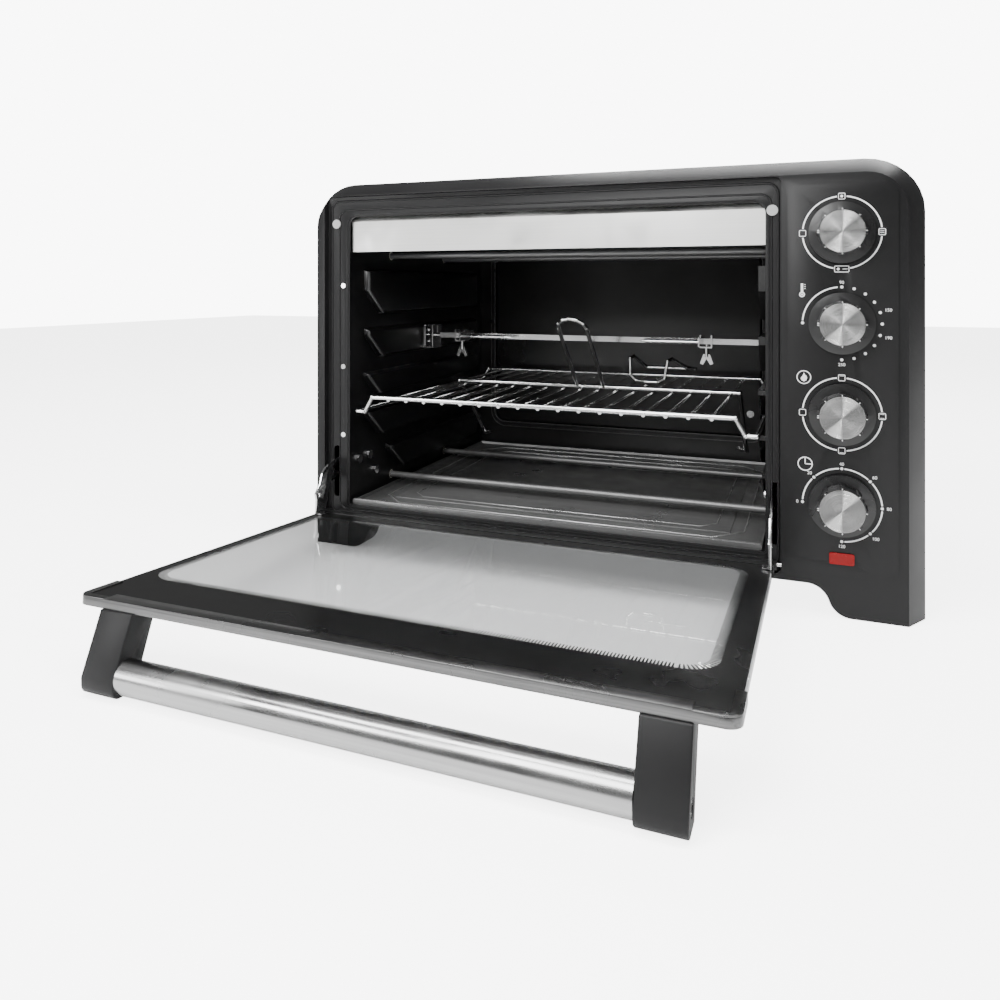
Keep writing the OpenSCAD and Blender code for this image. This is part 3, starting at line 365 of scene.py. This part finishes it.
def take(obj):
    """Makes this the one selected object."""
    deselect()
    obj.select_set(True)
    bpy.context.view_layer.objects.active = obj


def smooth(obj, angle=35):
    take(obj)
    bpy.ops.object.shade_smooth_by_angle(angle=math.radians(angle))


def apply_place(obj):
    take(obj)
    bpy.ops.object.transform_apply(location=True, rotation=True, scale=True)


def apply_modifier(obj, kind, **settings):
    modifier = obj.modifiers.new(kind.lower(), kind)
    for key, value in settings.items():
        setattr(modifier, key, value)
    take(obj)
    bpy.ops.object.modifier_apply(modifier=modifier.name)


def finish_piece(obj, name, body, material, angle=35):
    obj.name = name
    obj.data.name = name
    obj.data.materials.clear()
    obj.data.materials.append(material)
    smooth(obj, angle)
    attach(obj, body)
    return obj


BODY_OF = {n: b for b, members in frame["record"]["behaviour"]["bodies"].items() for n in members}


def in_scene(name, data):
    """A new object with this mesh or curve, selected on its own."""
    obj = bpy.data.objects.new(name, data)
    bpy.context.scene.collection.objects.link(obj)
    take(obj)
    return obj


def softened(node, name, material, width, segments=2):
    """A copy of a CAD node with its edges rounded over, shown in the node's place."""
    obj = in_scene(name, nodes[node].data.copy())
    bpy.ops.object.mode_set(mode="EDIT")
    bpy.ops.mesh.select_all(action="SELECT")
    bpy.ops.mesh.remove_doubles(threshold=MERGE)
    bpy.ops.mesh.dissolve_limited(angle_limit=math.radians(FLAT))
    bpy.ops.object.mode_set(mode="OBJECT")
    apply_modifier(obj, "BEVEL", width=width, segments=segments, limit_method="ANGLE",
                   angle_limit=math.radians(SHARP), use_clamp_overlap=True, harden_normals=False)
    finish_piece(obj, name, BODY_OF[node], material, 40)
    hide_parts(node)


def dress(material, *names):
    """Gives CAD nodes that keep their own mesh a finish."""
    for name in names:
        obj = nodes[name]
        obj.data.materials.clear()
        obj.data.materials.append(material)
        smooth(obj)


def join(parts, name):
    deselect()
    for part in parts:
        part.select_set(True)
    bpy.context.view_layer.objects.active = parts[0]
    bpy.ops.object.join()
    parts[0].name = name
    return parts[0]


def turn_outwards():
    """In edit mode: all faces point out of the shape."""
    bpy.ops.mesh.select_all(action="SELECT")
    bpy.ops.mesh.normals_make_consistent(inside=False)


def merged(obj):
    """Doubles merged, then all faces turned outwards."""
    bpy.ops.object.mode_set(mode="EDIT")
    bpy.ops.mesh.select_all(action="SELECT")
    bpy.ops.mesh.remove_doubles(threshold=MERGE)
    turn_outwards()
    bpy.ops.object.mode_set(mode="OBJECT")
    return obj


def rounded_outline(x0, z0, x1, z1, radius, steps=8):
    points = []
    for cx, cz, start in ((x1 - radius, z1 - radius, 0), (x0 + radius, z1 - radius, 90),
                          (x0 + radius, z0 + radius, 180), (x1 - radius, z0 + radius, 270)):
        for i in range(steps + 1):
            a = math.radians(start + 90 * i / steps)
            points.append((cx + radius * math.cos(a), cz + radius * math.sin(a)))
    return points


def wire(points, radius, cyclic=False, sides=3):
    """A round wire along a path, as a mesh with closed ends."""
    curve = bpy.data.curves.new("wire", "CURVE")
    curve.dimensions = "3D"
    curve.bevel_depth = radius
    curve.bevel_resolution = sides
    curve.use_fill_caps = not cyclic
    spline = curve.splines.new("POLY")
    spline.points.add(len(points) - 1)
    for spot, p in zip(spline.points, points):
        spot.co = (*p, 1)
    spline.use_cyclic_u = cyclic
    in_scene("wire", curve)
    bpy.ops.object.convert(target="MESH")
    return merged(bpy.context.view_layer.objects.active)


def slab(verts, faces, depth):
    """Flat faces in X and Z, given a thickness along Y."""
    mesh = bpy.data.meshes.new("slab")
    mesh.from_pydata(verts, [], faces)
    obj = in_scene("slab", mesh)
    bpy.ops.object.mode_set(mode="EDIT")
    bpy.ops.mesh.select_all(action="SELECT")
    bpy.ops.mesh.remove_doubles(threshold=MERGE)
    bpy.ops.mesh.extrude_region_move(TRANSFORM_OT_translate={"value": (0, depth, 0)})
    turn_outwards()
    bpy.ops.object.mode_set(mode="OBJECT")
    return obj


def plate(outline, y0, y1, hole=None):
    """A flat plate in X and Z from y0 to y1, with an optional hole of the same number of points."""
    count = len(outline)
    verts = [(x, y0, z) for x, z in outline]
    if hole is None:
        return slab(verts, [list(range(count))], y1 - y0)
    verts += [(x, y0, z) for x, z in hole]
    faces = [[i, (i + 1) % count, count + (i + 1) % count, count + i] for i in range(count)]
    return slab(verts, faces, y1 - y0)


# ---------------------------------------------------------------- door, worked out closed
door_joint = next(j for j in frame["joints"] if j["name"] == "door_hinge")
pivot = Vector(door_joint["pos_m"])
door_turn = math.radians(-door_joint["range_deg"][0])
OPENED = Matrix.Translation(pivot) @ Matrix.Rotation(door_turn, 4, "X") @ Matrix.Translation(-pivot)
CLOSED = OPENED.inverted()


def closed_box(node):
    """The box of a door node as it stands with the door shut."""
    spots = [CLOSED @ v.co for v in nodes[node].data.vertices]
    return (Vector(min(p[i] for p in spots) for i in range(3)),
            Vector(max(p[i] for p in spots) for i in range(3)))


def swing_open(obj):
    obj.matrix_world = OPENED @ obj.matrix_world
    apply_place(obj)


glass_lo, glass_hi = closed_box("door_glass")
WINDOW_LEFT = 15.2 * MM
WINDOW_RIGHT = 23.2 * MM
WINDOW_HINGE_SIDE = 32.2 * MM
WINDOW_FREE_SIDE = 59.5 * MM
WINDOW_CORNER = 16 * MM
BORDER_MARGIN = 1 * MM
BORDER_CORNER = 7 * MM
FRIT = 0.15 * MM
SUNK = 0.02 * MM
DASH_BAND = 6.5 * MM
DASH_PITCH = 2.1 * MM
DASH_ROOT = 0.78 * MM
DASH_TIP = 0.3 * MM
DASH_OVERLAP = 0.3 * MM
CORNER_DASHES = 12
window_x0 = glass_lo.x + WINDOW_LEFT
window_x1 = glass_hi.x - WINDOW_RIGHT
window_z0 = glass_lo.z + WINDOW_HINGE_SIDE
window_z1 = glass_hi.z - WINDOW_FREE_SIDE


def dash_spots():
    """Where each dash round the window has its tip, and the angle in degrees at which it points outwards."""
    r = WINDOW_CORNER
    left, right = window_x0 + r, window_x1 - r
    bottom, top = window_z0 + r, window_z1 - r
    for start, cx, cz in ((0, right, top), (90, left, top), (180, left, bottom), (270, right, bottom)):
        for i in range(CORNER_DASHES):
            angle = start + 90 * (i + 0.5) / CORNER_DASHES
            turn = math.radians(angle)
            yield cx + r * math.cos(turn), cz + r * math.sin(turn), angle
    for i in range(int((right - left) / DASH_PITCH)):
        x = left + (i + 0.5) * DASH_PITCH
        yield x, window_z1, 90
        yield x, window_z0, 270
    for i in range(int((top - bottom) / DASH_PITCH)):
        z = bottom + (i + 0.5) * DASH_PITCH
        yield window_x1, z, 0
        yield window_x0, z, 180


def frit_border():
    """The black printed border of the glass, with the row of tapering dashes at its inner edge."""
    y0, y1 = glass_hi.y - SUNK, glass_hi.y + FRIT
    m = BORDER_MARGIN
    outer = rounded_outline(glass_lo.x + m, glass_lo.z + m, glass_hi.x - m, glass_hi.z - m, BORDER_CORNER)
    inner = rounded_outline(window_x0 - DASH_BAND, window_z0 - DASH_BAND, window_x1 + DASH_BAND,
                            window_z1 + DASH_BAND, WINDOW_CORNER + DASH_BAND)
    verts, faces = [], []
    for x, z, angle in dash_spots():
        turn = math.radians(angle)
        out = Vector((math.cos(turn), math.sin(turn)))
        across = Vector((-out.y, out.x))
        first = len(verts)
        for reach, half in ((DASH_BAND + DASH_OVERLAP, DASH_ROOT), (0, DASH_TIP)):
            for side in (-1, 1):
                p = Vector((x, z)) + out * reach + across * half * side
                verts.append((p.x, y0, p.y))
        faces.append([first, first + 1, first + 3, first + 2])
    border = join([plate(outer, y0, y1, inner), slab(verts, faces, y1 - y0)], "door_border")
    swing_open(border)
    finish_piece(border, "door_border", "door", frit_black, 30)


# ---------------------------------------------------------------- panel print
PRINT = 0.12 * MM
RING_RADIUS = 29.6 * MM
RING_LINE = 1.15 * MM
RING_INNER = RING_RADIUS - RING_LINE / 2
RING_OUTER = RING_RADIUS + RING_LINE / 2
RING_STEP = 5
ICON_HALF = 2.7 * MM
ICON_WIDE = 5.6 * MM
ICON_LINE = 0.55 * MM
ICON_CORNER = 1.0 * MM
ICON_DOT = 1.1 * MM
ICON_GAP = 7
ICON_WIDE_GAP = 12
HEAT_DOT = 1.2 * MM
HEAT_STEP = 18
TIME_DOT = 1.15 * MM
TIME_STEP = 45
TIME_GAP = 4
NUMBER_SIZE = 3.6 * MM
HEAT_NUMBERS = (("90", 90, 3.6), ("150", 18, 6.2), ("190", -18, 6.2), ("250", -90, 4.0))
TIME_NUMBERS = (("0", 180, 4.0), ("20", 135, 4.6), ("40", 90, 3.6), ("60", 45, 4.6), ("80", 0, 5.0),
                ("100", -45, 5.6), ("120", -90, 4.0))
print_front = pad_face - PRINT
print_rear = pad_face + SUNK


def on_ring(centre, angle, radius=RING_RADIUS):
    a = math.radians(angle)
    return centre[0] + radius * math.cos(a), centre[1] + radius * math.sin(a)


def arc_band(centre, r0, r1, a0=0, a1=360):
    """A flat band of print between two radii, from one angle to another."""
    steps = int(abs(a1 - a0) / RING_STEP)
    verts = []
    for radius in (r0, r1):
        for i in range(steps + 1):
            x, z = on_ring(centre, a0 + (a1 - a0) * i / steps, radius)
            verts.append((x, print_front, z))
    row = steps + 1
    faces = [[i, i + 1, row + i + 1, row + i] for i in range(steps)]
    return slab(verts, faces, print_rear - print_front)


def dot(centre, radius, sides=16):
    return plate([on_ring(centre, 360 * i / sides, radius) for i in range(sides)], print_front, print_rear)


def outline_mark(centre, points, y0=print_front, y1=print_rear):
    """A filled outline, with its points in mm from a centre."""
    return plate([(centre[0] + x * MM, centre[1] + z * MM) for x, z in points], y0, y1)


def stroke(centre, x0, z0, x1, z1, y0=print_front, y1=print_rear):
    """A straight bar between two corners, in mm from a centre."""
    return outline_mark(centre, ((x0, z0), (x1, z0), (x1, z1), (x0, z1)), y0, y1)


def square_icon(centre, half_w, half_h):
    """An empty rounded box."""
    x, z = centre
    w, h = half_w - ICON_LINE, half_h - ICON_LINE
    outer = rounded_outline(x - half_w, z - half_h, x + half_w, z + half_h, ICON_CORNER, 3)
    inner = rounded_outline(x - w, z - h, x + w, z + h, ICON_CORNER - ICON_LINE, 3)
    return plate(outer, print_front, print_rear, inner)


def number(text, x, z):
    deselect()
    bpy.ops.object.text_add(location=(x, print_front + PRINT / 2, z))
    obj = bpy.context.view_layer.objects.active
    obj.data.body = text
    obj.data.size = NUMBER_SIZE
    obj.data.extrude = PRINT / 2
    obj.data.align_x = "CENTER"
    obj.data.align_y = "CENTER"
    obj.rotation_euler = (math.radians(90), 0, 0)
    take(obj)
    bpy.ops.object.convert(target="MESH")
    obj = bpy.context.view_layer.objects.active
    apply_place(obj)
    return merged(obj)


def numbers(centre, table):
    """Numbers outside a dial ring. Each has its angle and its distance past the ring in mm."""
    return [number(text, *on_ring(centre, angle, RING_RADIUS + reach * MM)) for text, angle, reach in table]


def icon_ring(centre, wide_angle=None):
    """A dial ring broken by four boxes, of which the one at wide_angle is wider."""
    parts = []
    for angle in (0, 90, 180, 270):
        first = ICON_WIDE_GAP if angle == wide_angle else ICON_GAP
        last = ICON_WIDE_GAP if angle + 90 == wide_angle else ICON_GAP
        parts.append(arc_band(centre, RING_INNER, RING_OUTER, angle + first, angle + 90 - last))
        half_w = ICON_WIDE if angle == wide_angle else ICON_HALF
        parts.append(square_icon(on_ring(centre, angle), half_w, ICON_HALF))
    return parts


def mode_print(centre):
    """A dot in the top box, two bars in the right one, a dot and a bar in the wide one below."""
    parts = icon_ring(centre, wide_angle=270)
    parts.append(dot(on_ring(centre, 90), ICON_DOT))
    for z in (-0.9, 0.5):
        parts.append(stroke(on_ring(centre, 0), -1.5, z, 1.5, z + 0.4))
    x, z = on_ring(centre, 270)
    parts.append(dot((x - 2.6 * MM, z), ICON_DOT))
    parts.append(stroke((x, z), 0.6, -0.2, 4.4, 0.2))
    return parts


def select_print(centre):
    """Boxes with a heater line at the top, at the bottom or at both, and a flame in a ring."""
    parts = icon_ring(centre)
    for angle in (270, 0):
        parts.append(stroke(on_ring(centre, angle), -1.5, -1.7, 1.5, -1.35))
    for angle in (90, 0):
        parts.append(stroke(on_ring(centre, angle), -1.5, 1.35, 1.5, 1.7))
    place = (centre[0] - 28.6 * MM, centre[1] + 29 * MM)
    parts.append(arc_band(place, 4.9 * MM, 5.6 * MM))
    flame = ((0.0, 3.9), (1.0, 1.9), (1.9, 1.3), (2.5, -0.6), (1.8, -2.6), (0.0, -3.5),
             (-1.8, -2.6), (-2.4, -0.8), (-1.3, 0.8), (-0.5, 2.2))
    parts.append(outline_mark(place, flame))
    return parts


def heat_print(centre):
    """A short arc, a row of dots with numbers, and a thermometer."""
    parts = [arc_band(centre, RING_INNER, RING_OUTER, 96, 176)]
    for angle in [180] + [90 - HEAT_STEP * i for i in range(11)]:
        parts.append(dot(on_ring(centre, angle), HEAT_DOT))
    parts += numbers(centre, HEAT_NUMBERS)
    place = (centre[0] - 30 * MM, centre[1] + 27 * MM)
    bulb = (place[0], place[1] - 3.6 * MM)
    parts.append(arc_band(bulb, 1.3 * MM, 2.2 * MM))
    parts.append(dot(bulb, 0.8 * MM))
    parts.append(stroke(place, -0.9, -1.5, 0.9, 5.5))
    for z in (1.2, 2.8, 4.4):
        parts.append(stroke(place, 1.6, z, 2.8, z + 0.4))
    return parts


def time_print(centre):
    """A ring broken by dots, numbers round it, and a clock."""
    place = (centre[0] - 27.6 * MM, centre[1] + 31.5 * MM)
    parts = [arc_band(place, 5.0 * MM, 5.8 * MM)]
    parts.append(stroke(place, -0.4, -0.4, 0.4, 5.2))
    parts.append(stroke(place, -0.4, -0.4, 5.2, 0.4))
    for i in range(7):
        angle = 180 - TIME_STEP * i
        parts.append(dot(on_ring(centre, angle), TIME_DOT))
        if i < 6:
            start, end = angle - TIME_GAP, angle - TIME_STEP + TIME_GAP
            parts.append(arc_band(centre, RING_INNER, RING_OUTER, start, end))
    return parts + numbers(centre, TIME_NUMBERS)


def panel_print():
    parts = mode_print(knob_centre("mode")) + select_print(knob_centre("select"))
    parts += heat_print(knob_centre("heat")) + time_print(knob_centre("time"))
    finish_piece(join(parts, "panel_print"), "panel_print", "oven", print_and_highlight_white, 30)


# lines on the front rim of a knob, in mm from its centre: the printed pointer, and marks at the rib tips that are
# painted highlights
POINTER = (-18.3, -16.9)
POINTER_APART = 0.75
POINTER_HALF = 0.28
RIB_HIGHLIGHT_REACH = (17.0, 18.2)
RIB_HIGHLIGHT_HALF = 0.22
RIM_PRINT = 0.08 * MM


def knob_marks(name):
    """White printed pointer lines on the knob's front rim, and white marks at the rib tips that are painted
    highlights.
    """
    centre = knob_centre(name)
    front = low("knob_" + name).y
    y0, y1 = front - RIM_PRINT, front + SUNK
    parts = []
    for z in (POINTER_APART, -POINTER_APART):
        parts.append(stroke(centre, POINTER[0], z - POINTER_HALF, POINTER[1], z + POINTER_HALF, y0, y1))
    # the seven rib-tip marks are painted highlights, not print
    for i in range(1, 8):
        a = math.radians(180 - 45 * i)
        out, across = Vector((math.cos(a), math.sin(a))), Vector((-math.sin(a), math.cos(a)))
        corners = ((RIB_HIGHLIGHT_REACH[0], -1), (RIB_HIGHLIGHT_REACH[1], -1), (RIB_HIGHLIGHT_REACH[1], 1), (RIB_HIGHLIGHT_REACH[0], 1))
        parts.append(outline_mark(centre, [out * reach + across * RIB_HIGHLIGHT_HALF * side for reach, side in corners],
                                  y0, y1))
    piece = join(parts, "knob_marks_" + name)
    finish_piece(piece, "knob_marks_" + name, name + "_knob", print_and_highlight_white, 30)


# ---------------------------------------------------------------- pressed cavity sheets
SHEET = 1 * MM
ROOT = 0.2 * MM
BAND_DEPTH = 8 * MM
BAND_TAPER = 2.6 * MM
BAND_EDGE = 1.6 * MM
GROOVE = 14.5 * MM
BAND_FRONT = 43 * MM
LOWEST_BAND_SETBACK = 50 * MM
BAND_REAR_GAP = 28 * MM
BAND_NOSE = 26 * MM
BAND_NOSE_FLAT = 4 * MM
BAND_NOSE_SLOPE = 1.2
BAND_HEEL = 8 * MM
BAND_CORNER = 4 * MM
GROOVE_SHARES = (0.184, 0.332, 0.465, 0.624)
BANDS_LOW, BANDS_HIGH = 0.06, 0.81
RIDGE_RADIUS = 1.5 * MM


def band_outlines():
    """The outline of each guide band on the left wall, as Y and Z, from the lowest up."""
    height = cav_top - cav_floor
    mids = [cav_floor + g * height for g in GROOVE_SHARES]
    bottoms = [cav_floor + BANDS_LOW * height] + [z + GROOVE / 2 for z in mids]
    tops = [z - GROOVE / 2 for z in mids] + [cav_floor + BANDS_HIGH * height]
    rear = cav_back - BAND_REAR_GAP
    for z0, z1 in zip(bottoms, tops):
        front = face_y + BAND_FRONT + (LOWEST_BAND_SETBACK if z0 == bottoms[0] else 0)
        cut = min(BAND_NOSE, z1 - z0 - BAND_NOSE_FLAT)
        yield [(front, z1), (front, z0 + cut), (front + cut * BAND_NOSE_SLOPE, z0), (rear - BAND_HEEL, z0),
               (rear, z0 + BAND_HEEL), (rear, z1 - BAND_CORNER), (rear - BAND_CORNER, z1)]


def pressed(verts, taper, depth, edge):
    """A flat outline raised out of its sheet with sloping sides and rounded edges."""
    mesh = bpy.data.meshes.new("pressing")
    mesh.from_pydata(verts, [], [list(range(len(verts)))])
    obj = in_scene("pressing", mesh)
    bpy.ops.object.mode_set(mode="EDIT")
    bpy.ops.mesh.select_all(action="SELECT")
    bpy.ops.mesh.inset(thickness=taper, depth=depth)
    bpy.ops.mesh.select_all(action="SELECT")
    bpy.ops.mesh.region_to_loop()
    bpy.ops.mesh.edge_face_add()
    turn_outwards()
    bpy.ops.object.mode_set(mode="OBJECT")
    apply_modifier(obj, "BEVEL", width=edge, segments=3, limit_method="ANGLE", angle_limit=math.radians(25))
    return obj


def sheet_box(lo, hi):
    deselect()
    bpy.ops.mesh.primitive_cube_add(size=1, location=(Vector(lo) + Vector(hi)) / 2)
    obj = bpy.context.view_layer.objects.active
    obj.scale = Vector(hi) - Vector(lo)
    apply_place(obj)
    return obj


def left_wall():
    """The wall sheet with its guide bands, which point into the cavity."""
    wall = [sheet_box((cav_left - SHEET, cav_front, cav_floor - SHEET),
                      (cav_left, cav_back, cav_top + SHEET))]
    for outline in band_outlines():
        verts = [(cav_left - ROOT, y, z) for y, z in outline]
        wall.append(pressed(verts, BAND_TAPER, BAND_DEPTH + ROOT, BAND_EDGE))
    piece = join(wall, "pressed_wall_left")
    finish_piece(piece, "pressed_wall_left", "oven", enamel, 40)
    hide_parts("cavity_left_wall")


BACK_SIDE = 24 * MM
BACK_FOOT = 33 * MM
BACK_HEAD = 32 * MM
BACK_CORNER = 15 * MM
BACK_TAPER = 3 * MM
BACK_EDGE = 1.2 * MM


def back_outline(grow=0, steps=8):
    """The raised middle of the back wall, as X and Z, made larger all round by grow."""
    side = BACK_SIDE - grow
    return rounded_outline(cav_left + side, cav_floor + BACK_FOOT - grow, cav_right - side,
                           cav_top - BACK_HEAD + grow, BACK_CORNER + grow, steps)


def back_wall():
    lo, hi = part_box("cavity_back")
    sheet = sheet_box((lo.x, cav_back, lo.z), (hi.x, hi.y, hi.z))
    verts = [(x, cav_back + ROOT, z) for x, z in back_outline(steps=6)]
    panel = pressed(verts, BACK_TAPER, cav_back - lo.y + ROOT, BACK_EDGE)
    piece = join([sheet, panel], "pressed_back")
    finish_piece(piece, "pressed_back", "oven", enamel, 40)
    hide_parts("cavity_back")


def back_ridges():
    """Rolled edge of the raised middle of the back wall, and the bead round its foot, both in a lighter enamel
    that paints their highlight.
    """
    edge_y = low("cavity_back").y + 1.2 * MM
    foot_y = cav_back - 0.1 * MM
    parts = [wire([(x, edge_y, z) for x, z in back_outline()], 0.9 * MM, cyclic=True),
             wire([(x, foot_y, z) for x, z in back_outline(6.5 * MM)], 0.55 * MM, cyclic=True)]
    piece = join(parts, "back_ridges")
    finish_piece(piece, "back_ridges", "oven", painted_highlight_enamel, 60)


def band_ridges():
    """Pressed nose at the front end of each guide band, in a lighter enamel that paints its highlight."""
    x = cav_left + BAND_DEPTH - BAND_EDGE
    parts = []
    for top, nose, heel in (outline[:3] for outline in band_outlines()):
        parts.append(wire([(x, top[0] + 1.2 * MM, top[1] - 3 * MM), (x, nose[0] + 1.2 * MM, nose[1]),
                           (x, heel[0] + 2 * MM, heel[1] + 1.6 * MM)], RIDGE_RADIUS))
    piece = join(parts, "band_noses")
    finish_piece(piece, "band_noses", "oven", painted_highlight_enamel, 60)


LIP_END = 2 * MM
LIP_RADIUS = 0.95 * MM
TRAY_SHAPE = 1.1


def tray_beads():
    """Rolled lip of the crumb tray, and the two eight-sided lines pressed round its sheet, in a lighter metal than
    the tray that paints their highlight.
    """
    lo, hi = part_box("crumb_tray")
    lip_z, lip_y = hi.z - 1.0 * MM, lo.y + 0.9 * MM
    parts = [wire([(lo.x + LIP_END, lip_y, lip_z), (hi.x - LIP_END, lip_y, lip_z)], LIP_RADIUS, sides=4)]
    for edge, cut, radius, rise in ((18 * MM, 26 * MM, 0.8 * MM, 1.05 * MM),
                                    (44 * MM, 14 * MM, 0.6 * MM, 1.85 * MM)):
        x0, x1 = lo.x + edge, hi.x - edge
        y0, y1 = lo.y + edge * TRAY_SHAPE, hi.y - edge * TRAY_SHAPE
        z = cav_floor + rise
        outline = [(x0 + cut, y0, z), (x1 - cut, y0, z), (x1, y0 + cut, z), (x1, y1 - cut, z),
                   (x1 - cut, y1, z), (x0 + cut, y1, z), (x0, y1 - cut, z), (x0, y0 + cut, z)]
        parts.append(wire(outline, radius, cyclic=True))
    piece = join(parts, "tray_beads")
    finish_piece(piece, "tray_beads", "tray", tray_edge_highlight, 60)


RECESS_FOOT = 29.5 * MM
RECESS_HEAD = 14.4 * MM
RECESS_LEFT = 2.5 * MM
RECESS_RIGHT = 5 * MM
RECESS_CORNER = 9 * MM


def recess_rings():
    """Rounded steps pressed round the door recess."""
    x0, x1 = low("door_trim").x - RECESS_LEFT, high("door_trim").x + RECESS_RIGHT
    z0, z1 = RECESS_FOOT, frame_h - RECESS_HEAD
    y = recess_y + 0.2 * MM
    parts = []
    for inset, radius in ((4.6 * MM, 1.2 * MM), (13.6 * MM, 0.9 * MM)):
        outline = rounded_outline(x0 + inset, z0 + inset * 0.7, x1 - inset * 0.6, z1 - inset, RECESS_CORNER)
        parts.append(wire([(x, y, z) for x, z in outline], radius, cyclic=True))
    piece = join(parts, "recess_rings")
    finish_piece(piece, "recess_rings", "oven", frame_black, 60)


# ---------------------------------------------------------------- build
softened("front_frame", "frame_shell", frame_black, 1.1 * MM, 3)
recess_rings()
left_wall()
back_wall()
back_ridges()
band_ridges()
tray_beads()
dress(cover_black, "outer_cover", "back_cover")
dress(enamel, "wall_flange", "cavity_ceiling", "cavity_floor", "cavity_right_wall")
dress(zinc, "bottom_plate", "hinge_brackets", "fan_housing", "spit_motor", "fan_motor")
dress(reflector_sheet, "reflector", "fan_blade")
dress(heater_skin, "upper_heaters", "lower_heaters")
dress(ceramic, "heater_insulators", "terminal_block")
dress(grey_moulding, "mode_switch", "thermostat", "selector_switch", "timer", "lamp_housing")
dress(rubber, "rear_feet")
dress(bumper_grey, "door_bumpers")
dress(knob_black, "cord_inlet", "door_rail")
dress(chrome, "cavity_screws", "wall_bolts", "cover_screws", "hinge_pins", "handle_screws", "thumb_screws",
      "wire_rack", "spit_lifter", "tray_handle", "spit_rod", "spit_socket", "spit_forks", "spit_bracket")
dress(window_glass, "door_glass")
dress(bar_steel, "handle_bar")
dress(lamp_red, "lamp_lens")
softened("hinge_plate_left", "hinge_fork_left", chrome, 0.4 * MM)
softened("hinge_plate_right", "hinge_fork_right", chrome, 0.4 * MM)
softened("door_trim", "trim_channel", trim_steel, 0.25 * MM)
softened("door_corner_clips", "corner_clips", trim_steel, 0.25 * MM)
softened("crumb_tray", "tray_pan", tray_sheet, 0.35 * MM)
for side in ("left", "right"):
    softened("handle_post_" + side, "post_" + side, post_black, 1.4 * MM, 3)
for knob in KNOBS:
    softened("knob_" + knob, "grip_" + knob, knob_black, 0.9 * MM, 3)
    x, z = knob_centre(knob)
    dress(spun("spun_cap_" + knob, (x, 0, z)), "knob_" + knob + "_cap")
    knob_marks(knob)
frit_border()
panel_print()


# ---------------------------------------------------------------- room, light and camera
WHITE = (1, 1, 1, 1)
FLOOR_SIZE = 9
FLOOR_Y = 1.0
FLOOR_DROP = 0.5 * MM
FLOOR_GLOW = 0.42
FLOOR_GLOW_SEEN = 4.5
ROOM_FILL = 0.2
ROOM_SEEN = 9.0


def area_light(name, place, target, size, power, size_y=None, seen=True):
    data = bpy.data.lights.new(name, "AREA")
    data.size = size
    if size_y:
        data.shape = "RECTANGLE"
        data.size_y = size_y
    data.energy = power
    obj = bpy.data.objects.new(name, data)
    obj.location = place
    obj.rotation_euler = (Vector(target) - Vector(place)).to_track_quat("-Z", "Y").to_euler()
    obj.visible_camera = seen
    bpy.context.scene.collection.objects.link(obj)


def pale_floor():
    """A white floor, brighter where it is looked at than in what it lights."""
    deselect()
    bpy.ops.mesh.primitive_plane_add(size=FLOOR_SIZE, location=(0, FLOOR_Y, -FLOOR_DROP))
    floor = bpy.context.view_layer.objects.active
    floor.name = "floor"
    material, tree, shader = blank("floor")
    shader.inputs["Base Color"].default_value = (0.92, 0.92, 0.92, 1)
    shader.inputs["Roughness"].default_value = 0.7
    shader.inputs["Emission Color"].default_value = WHITE
    paths = tree.nodes.new("ShaderNodeLightPath")
    glow = ranged(tree, paths.outputs["Is Camera Ray"], FLOOR_GLOW, FLOOR_GLOW_SEEN)
    tree.links.new(glow, shader.inputs["Emission Strength"])
    floor.data.materials.append(material)


def white_room():
    """A dim even fill, with a bright white backdrop where nothing stands in front of it."""
    world = bpy.data.worlds.new("room")
    bpy.context.scene.world = world
    world.use_nodes = True
    room = world.node_tree
    fill = room.nodes["Background"]
    backdrop = room.nodes.new("ShaderNodeBackground")
    for node, strength in ((fill, ROOM_FILL), (backdrop, ROOM_SEEN)):
        node.inputs["Color"].default_value = WHITE
        node.inputs["Strength"].default_value = strength
    rays = room.nodes.new("ShaderNodeLightPath")
    choose = room.nodes.new("ShaderNodeMixShader")
    room.links.new(rays.outputs["Is Camera Ray"], choose.inputs["Fac"])
    room.links.new(fill.outputs["Background"], choose.inputs[1])
    room.links.new(backdrop.outputs["Background"], choose.inputs[2])
    room.links.new(choose.outputs["Shader"], room.nodes["World Output"].inputs["Surface"])


pale_floor()
white_room()
area_light("key", (-1.3, -1.9, 1.6), (0, -0.1, 0.15), 0.6, 26)
area_light("strip", (0.1, -0.45, 1.5), (0, -0.1, 0.1), 2.2, 42, 0.25)
area_light("back", (0.2, 1.3, 1.6), (0, 0.1, 0.3), 1.6, 30, 0.4)
area_light("inside", (-0.05, -0.75, 0.62), (0, 0.25, 0.14), 0.35, 7, seen=False)
area_light("low_left", (-0.75, -0.95, 0.3), (-0.2, 0.1, 0.2), 0.25, 2.6, seen=False)

CAMERA_X = 0.2094
CAMERA_REACH = 0.7553
CAMERA_Z = 0.2707
CAMERA_TURN = 0.397
camera_data = bpy.data.cameras.new("camera")
camera = bpy.data.objects.new("camera", camera_data)
bpy.context.scene.collection.objects.link(camera)
camera.location = (CAMERA_X, face_y - CAMERA_REACH, CAMERA_Z)
camera.rotation_euler = (math.radians(90), 0, CAMERA_TURN)
camera_data.sensor_width = 36
camera_data.lens = 30.56
camera_data.shift_x = 0.035
camera_data.shift_y = -0.2149
bpy.context.scene.camera = camera
